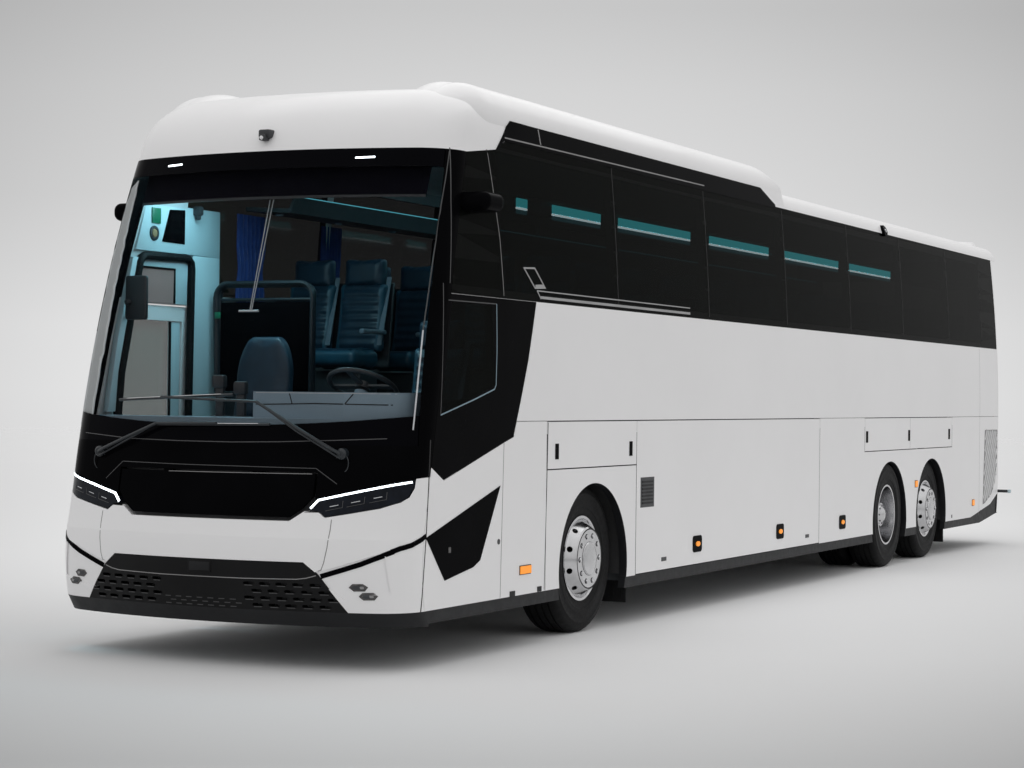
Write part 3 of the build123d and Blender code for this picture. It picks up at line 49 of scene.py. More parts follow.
# ---- node trees ----
class Tree:
    """A node tree under construction."""

    def __init__(self, owner):
        owner.use_nodes = True
        self.tree = owner.node_tree
        self.tree.nodes.clear()

    def add(self, kind, inputs=None, **settings):
        node = self.tree.nodes.new(kind)
        for key, value in settings.items():
            setattr(node, key, value)
        for key, value in (inputs or {}).items():
            if isinstance(value, bpy.types.NodeSocket):
                self.tree.links.new(value, node.inputs[key])
            else:
                node.inputs[key].default_value = value
        return node

    def math(self, operation, a, b=0.0):
        return self.add("ShaderNodeMath", {0: a, 1: b}, operation=operation).outputs[0]

    def noise(self, place, scale, detail=3.0):
        return self.add("ShaderNodeTexNoise", {"Vector": place, "Scale": scale, "Detail": detail}).outputs["Fac"]

    def spread(self, value, low, high, start=0.3, end=0.7):
        return self.add("ShaderNodeMapRange", {
            "Value": value, "From Min": start, "From Max": end, "To Min": low, "To Max": high}).outputs[0]

    def mix(self, share, a, b):
        return self.add("ShaderNodeMix", {0: share, 6: a, 7: b}, data_type="RGBA").outputs[2]


def rgba(colour, gain=1.0):
    return (*[min(1.0, channel * gain) for channel in colour], 1.0)


class Finish:
    """A procedural finish: mottled colour, uneven gloss and a fine grain."""

    def __init__(self, name, colour, rough, metal=0.0, specular=0.5, coat=0.0, mottle=0.1, size=2.5, grain=None,
                 glow=None, sheen=0.0):
        """grain is its depth and scale, glow its strength and colour."""
        self.material = bpy.data.materials.new(name)
        tree = self.tree = Tree(self.material)
        self.place = tree.add("ShaderNodeTexCoord").outputs["Object"]
        patch = tree.noise(self.place, size)
        self.colour = tree.mix(tree.spread(patch, 0.0, 1.0), rgba(colour, 1 - mottle), rgba(colour, 1 + mottle))
        gloss = tree.spread(tree.noise(self.place, size * 7.0), rough * 0.9, rough * 1.1)
        self.shader = tree.add("ShaderNodeBsdfPrincipled", {
            "Base Color": self.colour, "Roughness": gloss, "Metallic": metal, "Specular IOR Level": specular,
            "Coat Weight": coat, "Coat Roughness": 0.04, "Sheen Weight": sheen})
        if glow:
            self.shader.inputs["Emission Strength"].default_value = glow[0]
            self.shader.inputs["Emission Color"].default_value = rgba(glow[1])
        if grain:
            self.bump(tree.noise(self.place, grain[1], 2.0), grain[0])
        output = tree.add("ShaderNodeOutputMaterial")
        tree.tree.links.new(self.shader.outputs[0], output.inputs[0])

    def bump(self, height, depth):
        normal = self.tree.add("ShaderNodeBump", {"Height": height, "Distance": depth, "Strength": 1.0})
        self.tree.tree.links.new(normal.outputs[0], self.shader.inputs["Normal"])

    def wire(self, socket, name):
        self.tree.tree.links.new(socket, self.shader.inputs[name])
        return self


WHITE = (0.86, 0.853, 0.858)
PAINT_COAT = 0.25

paint = Finish("body_paint", WHITE, 0.34, coat=PAINT_COAT, mottle=0.012, size=1.2, grain=(0.00003, 220))
gloss_black = Finish("dark_gloss", (0.0025, 0.0025, 0.003), 0.14, specular=0.008, mottle=0.2)
grille_black = Finish("grille_plastic", (0.0085, 0.0085, 0.009), 0.42, specular=0.12, mottle=0.15, grain=(0.0001, 900))
skirt_black = Finish("skirt_plastic", (0.014, 0.0145, 0.016), 0.5, specular=0.2, mottle=0.15, grain=(0.00012, 700))
seam_black = Finish("seam_shadow", (0.012, 0.012, 0.013), 0.7)
# grey for seams; on the grille's crease and the mask lid's edge it draws painted highlights
seam_and_highlight_grey = Finish("seam_and_highlight_grey", (0.26, 0.255, 0.255), 0.6)
line_grey = Finish("line_grey", (0.34, 0.34, 0.345), 0.45)
faint_line = Finish("faint_line", (0.055, 0.055, 0.057), 0.5)
fog_grey = Finish("fog_lens", (0.085, 0.080, 0.080), 0.25, specular=0.4, mottle=0.4, size=40.0)
rubber = Finish("tyre_rubber", (0.0065, 0.0065, 0.007), 0.62, specular=0.15, mottle=0.18, size=6.0, grain=(0.0002, 500))
alloy = Finish("wheel_alloy", (0.62, 0.62, 0.63), 0.17, metal=1.0, mottle=0.07, size=14.0, grain=(0.00003, 160))
chrome = Finish("chrome", (0.75, 0.75, 0.76), 0.08, metal=1.0, mottle=0.04, size=20.0)
steel = Finish("frame_steel", (0.10, 0.10, 0.105), 0.55, metal=0.6, mottle=0.2, size=8.0, grain=(0.0003, 90))
iron = Finish("cast_iron", (0.045, 0.045, 0.047), 0.62, metal=0.5, mottle=0.25, size=11.0, grain=(0.0006, 70))
housing_steel = Finish("housing_steel", (0.02, 0.02, 0.021), 0.7, mottle=0.25, size=5.0, grain=(0.0003, 300))
trim = Finish("cabin_trim", (0.56, 0.59, 0.60), 0.55, mottle=0.03, grain=(0.0001, 500))
floor_cloth = Finish("floor_lining", (0.05, 0.055, 0.06), 0.8, mottle=0.2, size=30.0, grain=(0.0004, 400))
dash_grey = Finish("dash_plastic", (0.24, 0.33, 0.40), 0.48, mottle=0.06, grain=(0.00015, 500))
dash_dark = Finish("dash_dark", (0.03, 0.032, 0.036), 0.45, mottle=0.15, grain=(0.00012, 500))
leather = Finish("seat_leather", (0.010, 0.032, 0.055), 0.42, mottle=0.2, size=9.0, grain=(0.0003, 260))
leather_light = Finish("seat_bolster", (0.018, 0.075, 0.115), 0.38, mottle=0.15, size=9.0, grain=(0.0003, 260))
curtain_blue = Finish("curtain_cloth", (0.010, 0.035, 0.17), 0.85, mottle=0.2, size=20.0, grain=(0.0003, 900),
                      sheen=0.3)
rail_black = Finish("rail_black", (0.012, 0.016, 0.02), 0.35, mottle=0.15)
white_led = Finish("white_led", (0.9, 0.95, 1.0), 0.3, glow=(3.4, (0.86, 0.94, 1.0)), mottle=0.05)
strip_led = Finish("strip_led", (0.9, 0.95, 1.0), 0.3, glow=(7.0, (0.80, 0.97, 1.0)), mottle=0.05)
cyan_led = Finish("cyan_led", (0.1, 0.5, 0.6), 0.3, glow=(4.4, (0.06, 0.60, 0.66)), mottle=0.05)
amber = Finish("amber_lens", (0.80, 0.20, 0.01), 0.35, specular=0.2, glow=(0.5, (1.0, 0.42, 0.06)), mottle=0.15,
               size=120.0)
red_lens = Finish("tail_lens", (0.35, 0.012, 0.012), 0.18, coat=0.4, mottle=0.2, size=60.0)
trace_blue = Finish("pane_edge", (0.20, 0.30, 0.36), 0.35)
trim_pale = Finish("entry_trim", (0.50, 0.62, 0.66), 0.5, mottle=0.03, grain=(0.0001, 500))
tan_cone = Finish("speaker_cone", (0.30, 0.19, 0.09), 0.6, mottle=0.15, size=30.0)
transom_glass = Finish("transom_glass", (0.36, 0.22, 0.20), 0.08, specular=0.1, mottle=0.08)
sign_green = Finish("sign_green", (0.01, 0.16, 0.08), 0.4)
blind_navy = Finish("blind_cloth", (0.003, 0.003, 0.006), 0.8, specular=0.05, mottle=0.2, size=12.0)
rack_grey = Finish("rack_grey", (0.045, 0.055, 0.060), 0.5, mottle=0.08, grain=(0.0001, 500))
screen_glass = Finish("windscreen_glass", (0.002, 0.002, 0.003), 0.02, specular=0.02)
tinted_glass = Finish("tinted_glass", (0.003, 0.0036, 0.003), 0.03, specular=0.008, mottle=0.15)
far_glass = Finish("tinted_glass_right", (0.004, 0.007, 0.003), 0.03, specular=0.008, mottle=0.15)
door_glass = Finish("door_glass", (0.030, 0.105, 0.080), 0.03, specular=0.15)
# silver for real silver parts, and also for painted highlights and glints
silver_and_highlight = Finish("silver_and_highlight_line", (0.60, 0.61, 0.63), 0.3, metal=0.4, mottle=0.06, size=20.0)
mesh_grey = Finish("inlet_grey", (0.30, 0.30, 0.305), 0.55, mottle=0.08, size=12.0, grain=(0.0004, 240))
rib_grey = Finish("rib_grey", (0.60, 0.60, 0.605), 0.5, size=18.0, grain=(0.0003, 240))
plate_white = Finish("blank_plate", (0.72, 0.72, 0.70), 0.4, mottle=0.03, size=20.0)
cyan_dim = Finish("cyan_dim", (0.05, 0.25, 0.30), 0.5, glow=(0.7, (0.10, 0.45, 0.55)), mottle=0.05)
belt_grey = Finish("belt_webbing", (0.17, 0.21, 0.25), 0.7, mottle=0.12, size=40.0, grain=(0.0002, 1500))
leather_ribbed = Finish("seat_channels", (0.010, 0.032, 0.055), 0.42, mottle=0.2, size=9.0)
lamp_glass = Finish("lamp_glass", (0.005, 0.007, 0.012), 0.06, specular=0.12, coat=0.03, mottle=0.3, size=30.0)


# channels sewn across the back and the cushion
channels = leather_ribbed.tree.add(
    "ShaderNodeTexWave", {"Vector": leather_ribbed.place, "Scale": 5.2, "Distortion": 0.4},
    wave_type="BANDS", bands_direction="Z", wave_profile="SIN")
leather_ribbed.bump(channels.outputs["Fac"], 0.006)


WINDOW_LOW = 2.277              # lower edge of the dark band behind the side glass
ARCH_HIGH, ARCH_END = 1.40, 6.6  # the painted shade on the cut faces of the openings reaches this high and this far from the middle
INSIDE_GREY = (0.50, 0.53, 0.54)
WALL_BLACK = (0.01, 0.01, 0.012)


def wall_finish():
    """Paint that is black behind the window band, black on the cut faces of arches and doors as painted shade in the
    gaps and under the arch lips, grey on the inside.
    """
    finish = Finish("wall_paint", WHITE, 0.34, coat=PAINT_COAT, mottle=0.012, size=1.2, grain=(0.00003, 220))
    tree = finish.tree
    x, y, z = tree.add("ShaderNodeSeparateXYZ", {0: finish.place}).outputs
    normal = tree.add("ShaderNodeNewGeometry").outputs["Normal"]
    out = tree.add("ShaderNodeSeparateXYZ", {0: normal}).outputs[0]
    facing = tree.math("MULTIPLY", x, out)
    band = tree.math("MULTIPLY", tree.math("GREATER_THAN", z, WINDOW_LOW), tree.math("GREATER_THAN", facing, -0.6))
    inner = tree.math("LESS_THAN", facing, -0.2)
    trimmed = tree.mix(inner, finish.colour, rgba(INSIDE_GREY))
    # cut faces of the arches and door openings low on the sides: painted shade in the gaps and under the arch lips
    cut = tree.math("LESS_THAN", tree.math("ABSOLUTE", out), 0.35)
    for limit in (tree.math("LESS_THAN", z, ARCH_HIGH), tree.math("LESS_THAN", tree.math("ABSOLUTE", y), ARCH_END)):
        cut = tree.math("MULTIPLY", cut, limit)
    dark = tree.math("MAXIMUM", band, cut)
    finish.wire(tree.mix(dark, trimmed, rgba(WALL_BLACK)), "Base Color")
    bare = tree.math("SUBTRACT", 1.0, tree.math("MAXIMUM", dark, inner))
    finish.wire(tree.math("MULTIPLY", bare, PAINT_COAT), "Coat Weight")
    return finish


# where the windscreen's black border fades, in metres, its bow, its lean and the opacity inside it
SCREEN_LOW, SCREEN_HIGH, SCREEN_SIDE = (1.452, 1.458), (3.055, 3.065), (1.318, 1.326)
SCREEN_BOW, SCREEN_LEAN, SCREEN_ALPHA = 0.045, 0.0495, 0.13


def screen_border():
    """Clear glass only above the bowed lower edge, below the upper one and between the leaning sides."""
    tree = screen_glass.tree
    x, _, z = tree.add("ShaderNodeSeparateXYZ", {0: screen_glass.place}).outputs
    bow = tree.math("MULTIPLY", tree.math("MULTIPLY", x, x), -SCREEN_BOW)
    low = tree.spread(tree.math("ADD", z, bow), 0.0, 1.0, *SCREEN_LOW)
    high = tree.spread(z, 1.0, 0.0, *SCREEN_HIGH)
    reach = tree.math("ADD", tree.math("ABSOLUTE", x), tree.math("MULTIPLY", z, SCREEN_LEAN))
    edge = tree.spread(reach, 1.0, 0.0, *SCREEN_SIDE)
    clear = tree.math("MULTIPLY", tree.math("MULTIPLY", low, high), edge)
    screen_glass.wire(tree.spread(clear, 1.0, SCREEN_ALPHA, 0.0, 1.0), "Alpha")


screen_border()
for glass, alpha in ((tinted_glass, 0.81), (far_glass, 0.88), (door_glass, 0.55)):
    glass.shader.inputs["Alpha"].default_value = alpha
wall_paint = wall_finish()

CAD_FINISHES = (
    (paint, "front_bumper roof_cap roof_shell roof_fairings tail_wall engine_lid entry_door mid_door"),
    (wall_paint, "side_wall_left side_wall_right luggage_door_left luggage_door_right front_flap_left "
                 "front_flap_right rear_flap_left rear_flap_right"),
    (gloss_black, "dark_panels mask_lid camera_pods"), (grille_black, "lower_grille"), (lamp_glass, "headlamps"),
    (skirt_black, "black_skirt"), (screen_glass, "windscreen"), (far_glass, "side_glass_right"),
    (tinted_glass, "side_glass_left tail_window mid_door_glass"), (door_glass, "entry_door_glass"),
    (red_lens, "tail_lamps"), (steel, "entry_door_arm mid_door_arm chassis_frame"),
    (housing_steel, "wheel_housings"), (floor_cloth, "floors luggage_bay"),
    (iron, "engine_block axle_front axle_tag axle_drive"), (dash_grey, "dashboard"), (dash_dark, "steering_wheel"),
    (leather, "seats"), (rail_black, "entry_rail"), (rack_grey, "luggage_racks"))
KIND_FINISHES = {"tyre": rubber, "rim": alloy, "knuckle": iron}
finish_of = {name: finish for finish, names in CAD_FINISHES for name in names.split()}
for name, node in nodes.items():
    finish = finish_of.get(name) or KIND_FINISHES[name.split("_")[0]]
    node.data.materials.clear()
    node.data.materials.append(finish.material)

# ---- camera ----
EYE = Vector((7.53991, -18.72983, 1.63958))
RIGHT = Vector((0.89926218, 0.43725655, 0.01158594))
DOWN = Vector((0.00766739, 0.01072581, -0.99991308))
AHEAD = Vector((-0.43734282, 0.89927285, 0.0062927))
LENS, SENSOR, SIGHT = 77.928, 36.0, 600.0  # focal length and film width in mm, how far it sees in m
camera = bpy.data.objects.new("camera", bpy.data.cameras.new("camera"))
bpy.context.scene.collection.objects.link(camera)
camera.data.lens = LENS
camera.data.sensor_width = SENSOR
camera.data.clip_end = SIGHT
camera.matrix_world = Matrix((
    (RIGHT.x, -DOWN.x, -AHEAD.x, EYE.x),
    (RIGHT.y, -DOWN.y, -AHEAD.y, EYE.y),
    (RIGHT.z, -DOWN.z, -AHEAD.z, EYE.z),
    (0.0, 0.0, 0.0, 1.0)))
bpy.context.scene.camera = camera
bpy.context.scene.view_settings.view_transform = "Standard"

# ---- stage: backdrop tone by height above the horizon, and across; on the floor the same tone is painted shade ----
# slope above the horizon, tone on the middle line
TONES = [(-0.165, 0.47), (-0.14, 0.57), (-0.115, 0.68), (-0.073, 0.80), (-0.024, 0.86), (0.0, 0.88), (0.031, 0.865),
         (0.09, 0.72), (0.139, 0.655), (0.176, 0.575)]
SIDE_FALL = 3.7                 # how fast the tone falls to the sides, on the floor as painted shade
TONE_RANGE = (-0.2, 0.2)        # slopes at the ends of the ramp


def tone(tree, across, slope):
    """The backdrop's tone for a direction given by its slopes across and up."""
    low, high = TONE_RANGE
    place = tree.spread(slope, 0.0, 1.0, low, high)
    ramp = tree.add("ShaderNodeValToRGB", {0: place})
    points = ramp.color_ramp.elements
    while len(points) < len(TONES):
        points.new(0.5)
    for point, (level, value) in zip(points, TONES):
        point.position = (level - low) / (high - low)
        point.color = (value, value, value * 1.003, 1.0)
    fall = tree.math("MULTIPLY", tree.math("MULTIPLY", across, across), -SIDE_FALL)
    fall = tree.math("MAXIMUM", tree.math("ADD", fall, 1.0), 0.7)
    return tree.add("ShaderNodeVectorMath", {0: ramp.outputs[0], 3: fall}, operation="SCALE").outputs[0]


def slopes(tree, vector):
    """The slopes across and up of a direction, seen along the camera's axis."""
    def dot(axis):
        return tree.add("ShaderNodeVectorMath", {0: vector, 1: tuple(axis)}, operation="DOT_PRODUCT").outputs[1]

    depth = tree.math("MAXIMUM", tree.math("ABSOLUTE", dot(AHEAD)), 0.2)
    rise = tree.add("ShaderNodeSeparateXYZ", {0: vector}).outputs[2]
    return tree.math("DIVIDE", dot(RIGHT), depth), tree.math("DIVIDE", rise, depth)


world = bpy.data.worlds.new("studio")
bpy.context.scene.world = world
sky = Tree(world)
heading = sky.add("ShaderNodeTexCoord").outputs["Generated"]
seen = sky.add("ShaderNodeBackground", {"Color": tone(sky, *slopes(sky, heading)), "Strength": 1.0})
rise = sky.add("ShaderNodeSeparateXYZ", {0: heading}).outputs[2]
SKY_LOW, SKY_HIGH = 0.57, 0.90  # light from the horizon and from above
dome = sky.spread(rise, SKY_LOW, SKY_HIGH, 0.0, 0.9)
dome = sky.add("ShaderNodeCombineColor", {0: dome, 1: dome, 2: dome}).outputs[0]
light = sky.add("ShaderNodeBackground", {"Color": dome, "Strength": 1.0})
rays = sky.add("ShaderNodeLightPath")
chosen = sky.add("ShaderNodeMixShader", {
    0: rays.outputs["Is Camera Ray"], 1: light.outputs[0], 2: seen.outputs[0]})
sky.add("ShaderNodeOutputWorld", {0: chosen.outputs[0]})

FLOOR_LIGHT = 0.80              # light that reaches the open floor
FLOOR_HALF = 200.0              # half the floor's width
FLOOR_FADE = (35.0, 90.0)       # the floor fades out between these distances from the middle
floor_mesh = bpy.data.meshes.new("floor")
floor_mesh.from_pydata([(x * FLOOR_HALF, y * FLOOR_HALF, 0) for x, y in ((-1, -1), (1, -1), (1, 1), (-1, 1))], [],
                       [(0, 1, 2, 3)])
floor = bpy.data.objects.new("floor", floor_mesh)
bpy.context.scene.collection.objects.link(floor)
floor_material = bpy.data.materials.new("studio_floor")
ground = Tree(floor_material)
spot = ground.add("ShaderNodeTexCoord").outputs["Object"]
from_eye = ground.add("ShaderNodeVectorMath", {0: spot, 1: tuple(EYE)}, operation="SUBTRACT").outputs[0]
# painted shade: the floor's colour darkens towards the camera and to the sides, divided by the light that reaches it
shade = tone(ground, *slopes(ground, from_eye))
shade = ground.add("ShaderNodeVectorMath", {0: shade, 3: 1.0 / FLOOR_LIGHT}, operation="SCALE").outputs[0]
reach = ground.add("ShaderNodeVectorMath", {0: spot}, operation="LENGTH").outputs[1]
solid = ground.spread(reach, 1.0, 0.0, *FLOOR_FADE)
floor_shader = ground.add("ShaderNodeBsdfPrincipled", {
    "Base Color": shade, "Roughness": 0.75, "Specular IOR Level": 0.1, "Alpha": solid})
ground.add("ShaderNodeOutputMaterial", {0: floor_shader.outputs[0]})
floor_mesh.materials.append(floor_material)


def lamp(name, place, target, size, power, colour=(1.0, 1.0, 1.0)):
    data = bpy.data.lights.new(name, "AREA")
    data.shape = "RECTANGLE"
    data.size, data.size_y = size
    data.energy = power
    data.color = colour
    holder = bpy.data.objects.new(name, data)
    holder.location = place
    holder.rotation_mode = "QUATERNION"
    holder.rotation_quaternion = (Vector(target) - Vector(place)).to_track_quat("-Z", "Y")
    holder.visible_camera = False
    bpy.context.scene.collection.objects.link(holder)


lamp("overhead", (0.0, 1.5, 8.5), (0.0, 1.5, 0.0), (8.0, 16.0), 215.0)
COOL = (0.42, 0.86, 1.0)
lamp("entry_light", (-0.55, at(1.35), 3.05), (-0.9, at(1.2), 1.2), (0.5, 0.9), 14.0, COOL)
lamp("driver_light", (0.45, at(1.45), 3.08), (0.45, at(0.9), 1.0), (0.6, 0.6), 4.0, COOL)
lamp("saloon_light", (0.0, at(4.0), 3.35), (0.0, at(4.0), 1.0), (0.5, 3.0), 7.0, COOL)


# ---- shapes ----
RAY_START = 9.0                 # where rays start, outside the coach


class Skin:
    """The outer face of some CAD nodes, met by rays from one side."""

    def __init__(self, out, names, usual, reach):
        """usual is a ray's common length, and hits beyond reach are panel gaps."""
        self.out = Vector(out)
        self.reach = reach
        verts, faces = [], []
        for name in names:
            base = len(verts)
            verts.extend(vertex.co for vertex in nodes[name].data.vertices)
            faces.extend([base + index for index in face.vertices] for face in nodes[name].data.polygons)
        self.tree = BVHTree.FromPolygons(verts, faces)
        self.usual = usual

    def meet(self, u, v):
        """u is x, or a station on the sides and v then is z; from above u is x and v a station."""
        if self.out.x:
            start = Vector((0.0, at(u), v))
        elif self.out.y:
            start = Vector((u, 0.0, v))
        else:
            start = Vector((u, at(v), 0.0))
        start += self.out * RAY_START
        return start, self.tree.ray_cast(start, -self.out, self.reach)[0]

    def point(self, u, v):
        """The skin at (u, v), or over a panel gap the depth of the nearest skin beside it."""
        start, hit = self.meet(u, v)
        if hit is not None:
            return hit
        for radius in (0.004, 0.010, 0.025, 0.06):
            for k in range(8):
                turn = math.pi * k / 4
                near = self.meet(u + radius * math.cos(turn), v + radius * math.sin(turn))[1]
                if near is not None:
                    return start - self.out * (start - near).dot(self.out)
        return start - self.out * self.usual


BOX_FACES = [(0, 2, 3, 1), (4, 5, 7, 6), (0, 1, 5, 4), (2, 6, 7, 3), (0, 4, 6, 2), (1, 3, 7, 5)]


def box_points(low, high):
    return [(x, y, z) for z in (low[2], high[2]) for y in (low[1], high[1]) for x in (low[0], high[0])]


class Form:
    """One piece under construction."""

    def __init__(self, name, finish, skin=None):
        self.name = name
        self.skin = skin
        self.mesh = bmesh.new()
        self.finishes = []
        self.use(finish)

    def use(self, finish):
        if finish not in self.finishes:
            self.finishes.append(finish)
        self.index = self.finishes.index(finish)
        return self

    def shell(self, points, faces):
        verts = [self.mesh.verts.new(point) for point in points]
        made = [self.mesh.faces.new([verts[index] for index in face]) for face in faces]
        for face in made:
            face.material_index = self.index
        return verts, made

    def box(self, low, high, bevel=0.0, steps=2):
        verts, made = self.shell(box_points(low, high), BOX_FACES)
        self.soften(made, bevel, steps)
        return verts

    def soften(self, faces, bevel, steps, sharp=0.5):
        """Bevel the edges of these faces that turn by more than sharp."""
        if bevel:
            bmesh.ops.recalc_face_normals(self.mesh, faces=faces)
            edges = dict.fromkeys(edge for face in faces for edge in face.edges
                                  if edge.calc_face_angle(0.0) > sharp)
            made = bmesh.ops.bevel(self.mesh, geom=list(edges), offset=bevel, segments=steps, profile=0.5,
                                   affect="EDGES", clamp_overlap=True)
            for face in made["faces"]:
                face.material_index = self.index

    def prism(self, points, offset, bevel=0.0, steps=2):
        """A flat outline of points carried along an offset."""
        points = [Vector(point) for point in points]
        count = len(points)
        ends = points + [point + Vector(offset) for point in points]
        faces = [tuple(range(count)), tuple(reversed(range(count, 2 * count)))]
        faces += [(i, i + count, (i + 1) % count + count, (i + 1) % count) for i in range(count)]
        verts, made = self.shell(ends, faces)
        self.soften(made, bevel, steps)
        return verts

    def bar(self, points, sides=4, closed=False):
        """Walls and ends through rows of points that follow one another."""
        count = len(points) // sides
        faces = []
        for i in range(count if closed else count - 1):
            j = (i + 1) % count
            for k in range(sides):
                n = (k + 1) % sides
                faces.append((i * sides + k, i * sides + n, j * sides + n, j * sides + k))
        if not closed:
            faces.append(tuple(reversed(range(sides))))
            faces.append(tuple(range((count - 1) * sides, count * sides)))
        return self.shell(points, faces)[0]

    def tube(self, path, radius, sides=10, closed=False, flat=1.0):
        """A round bar along a path."""
        path = [Vector(point) for point in path]
        count = len(path)
        tangents = []
        for i, point in enumerate(path):
            before = path[i - 1] if i or closed else point
            after = path[(i + 1) % count] if i < count - 1 or closed else point
            tangents.append((after - before).normalized())
        normal = tangents[0].orthogonal().normalized()
        points = []
        for point, tangent in zip(path, tangents):
            normal = (normal - tangent * normal.dot(tangent)).normalized()
            across = tangent.cross(normal)
            for k in range(sides):
                turn = 2 * math.pi * k / sides
                points.append(point + (normal * math.cos(turn) + across * math.sin(turn) * flat) * radius)
        return self.bar(points, sides, closed)

    def turned(self, profile, centre, axis, steps=24, phase=0.0):
        """A closed outline of (distance along the axis, radius) turned about it."""
        axis = Vector(axis).normalized()
        normal = axis.orthogonal().normalized()
        across = axis.cross(normal)
        points, rings = [], []
        for along, radius in profile:
            base = Vector(centre) + axis * along
            if radius < 1e-6:
                rings.append([len(points)] * steps)
                points.append(base)
                continue
            rings.append([len(points) + k for k in range(steps)])
            for k in range(steps):
                turn = 2 * math.pi * k / steps + phase
                points.append(base + (normal * math.cos(turn) + across * math.sin(turn)) * radius)
        faces = []
        count = len(rings)
        closed = profile[0][1] > 1e-6 and profile[-1][1] > 1e-6
        for i in range(count if closed else count - 1):
            one, two = rings[i], rings[(i + 1) % count]
            for k in range(steps):
                n = (k + 1) % steps
                face = tuple(dict.fromkeys((one[k], one[n], two[n], two[k])))
                if len(face) > 2:
                    faces.append(face)
        return self.shell(points, faces)[0]

    def laid(self, outline, lift=0.0015, depth=0.006, cell=0.1):
        """A flat outline pressed onto the skin: cut on a grid, laid down and given a thickness."""
        skin = self.skin
        work = bmesh.new()
        work.faces.new([work.verts.new((u, v, 0.0)) for u, v in outline])
        for axis in (0, 1):
            low = min(point[axis] for point in outline)
            high = max(point[axis] for point in outline)
            cuts = int((high - low) / cell)
            for k in range(1, cuts + 1):
                place, normal = Vector((0, 0, 0)), Vector((0, 0, 0))
                place[axis] = low + (high - low) * k / (cuts + 1)
                normal[axis] = 1.0
                bmesh.ops.bisect_plane(work, geom=[*work.verts, *work.edges, *work.faces], plane_co=place,
                                       plane_no=normal)
        bmesh.ops.triangulate(work, faces=[face for face in work.faces if len(face.verts) > 4])
        work.verts.index_update()
        on = [skin.point(vertex.co.x, vertex.co.y) for vertex in work.verts]
        count = len(on)
        points = [point + skin.out * lift for point in on] + [point - skin.out * (depth - lift) for point in on]
        faces = []
        for face in work.faces:
            ring = [vertex.index for vertex in face.verts]
            faces.append(tuple(ring))
            faces.append(tuple(index + count for index in reversed(ring)))
        for edge in work.edges:
            if len(edge.link_faces) == 1:
                a, b = (vertex.index for vertex in edge.verts)
                faces.append((a, b, b + count, a + count))
        work.free()
        return self.shell(points, faces)[0]

    def strip(self, path, width, lift=0.0012, depth=0.005, cell=0.05, closed=False):
        """A band that follows a path of (u, v) on the skin."""
        skin = self.skin
        path = [Vector(point) for point in path]
        if closed:
            path.append(path[0])
        rows = []
        for i, point in enumerate(path):
            before = (point - path[i - 1]).normalized() if i else None
            after = (path[i + 1] - point).normalized() if i < len(path) - 1 else None
            if closed and i == 0:
                before = (path[0] - path[-2]).normalized()
            if closed and i == len(path) - 1:
                after = (path[1] - path[0]).normalized()
            first, second = before or after, after or before
            bisector = (first + second).normalized()
            side = Vector((-bisector.y, bisector.x))
            reach = width / 2 / max(0.4, bisector.dot(first))
            rows.append((point, side * reach))
        fine = []
        for (start, from_side), (end, to_side) in zip(rows, rows[1:]):
            cuts = max(1, math.ceil((end - start).length / cell))
            for k in range(cuts):
                share = k / cuts
                fine.append((start.lerp(end, share), from_side.lerp(to_side, share)))
        fine.append(rows[-1])
        points = []
        for point, side in fine:
            left = skin.point(*(point + side))
            right = skin.point(*(point - side))
            points += [left + skin.out * lift, right + skin.out * lift,
                       right - skin.out * (depth - lift), left - skin.out * (depth - lift)]
        return self.bar(points)

    def wrap(self, path, width, skin, lift=0.002, depth=0.006, cell=0.03):
        """A band along points (x, station, z) drawn to the nearest place of a skin, also round a corner."""
        path = [Vector((x, at(station), z)) for x, station, z in path]
        run = []
        for start, end in zip(path, path[1:]):
            cuts = max(1, math.ceil((end - start).length / cell))
            run += [start.lerp(end, k / cuts) for k in range(cuts)]
        run.append(path[-1])
        met = [skin.tree.find_nearest(point)[:2] for point in run]
        points = []
        for i, (place, normal) in enumerate(met):
            tangent = (met[min(i + 1, len(met) - 1)][0] - met[max(i - 1, 0)][0]).normalized()
            if normal.dot(Vector((place.x, place.y, 0))) < 0:
                normal = -normal
            side = normal.cross(tangent).normalized() * width / 2
            points += [place + side + normal * lift, place - side + normal * lift,
                       place - side - normal * (depth - lift), place + side - normal * (depth - lift)]
        return self.bar(points)

    def mirrored(self):
        """The same again on the other side of the coach."""
        copy = bmesh.ops.duplicate(self.mesh, geom=[*self.mesh.verts, *self.mesh.edges, *self.mesh.faces])["geom"]
        for part in copy:
            if isinstance(part, bmesh.types.BMVert):
                part.co.x = -part.co.x
        return self

    def done(self, body="coach", slot="dark_gloss", sharp=35.0, replaces=()):
        bmesh.ops.recalc_face_normals(self.mesh, faces=self.mesh.faces)
        data = bpy.data.meshes.new(self.name)
        self.mesh.to_mesh(data)
        self.mesh.free()
        for finish in self.finishes:
            data.materials.append(finish.material)
        data.shade_smooth()
        data.set_sharp_from_angle(angle=math.radians(sharp))
        piece = bpy.data.objects.new(self.name, data)
        bpy.context.scene.collection.objects.link(piece)
        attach(piece, body)
        if replaces:
            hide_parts(*replaces)
        return piece


def arc(centre, radius, start, end, steps):
    """Points of an arc in a plane, angles in degrees."""
    turns = [math.radians(start + (end - start) * k / steps) for k in range(steps + 1)]
    return [(centre[0] + radius * math.cos(turn), centre[1] + radius * math.sin(turn)) for turn in turns]


def rectangle(u, v, wide, high):
    return [(u - wide / 2, v - high / 2), (u + wide / 2, v - high / 2), (u + wide / 2, v + high / 2),
            (u - wide / 2, v + high / 2)]


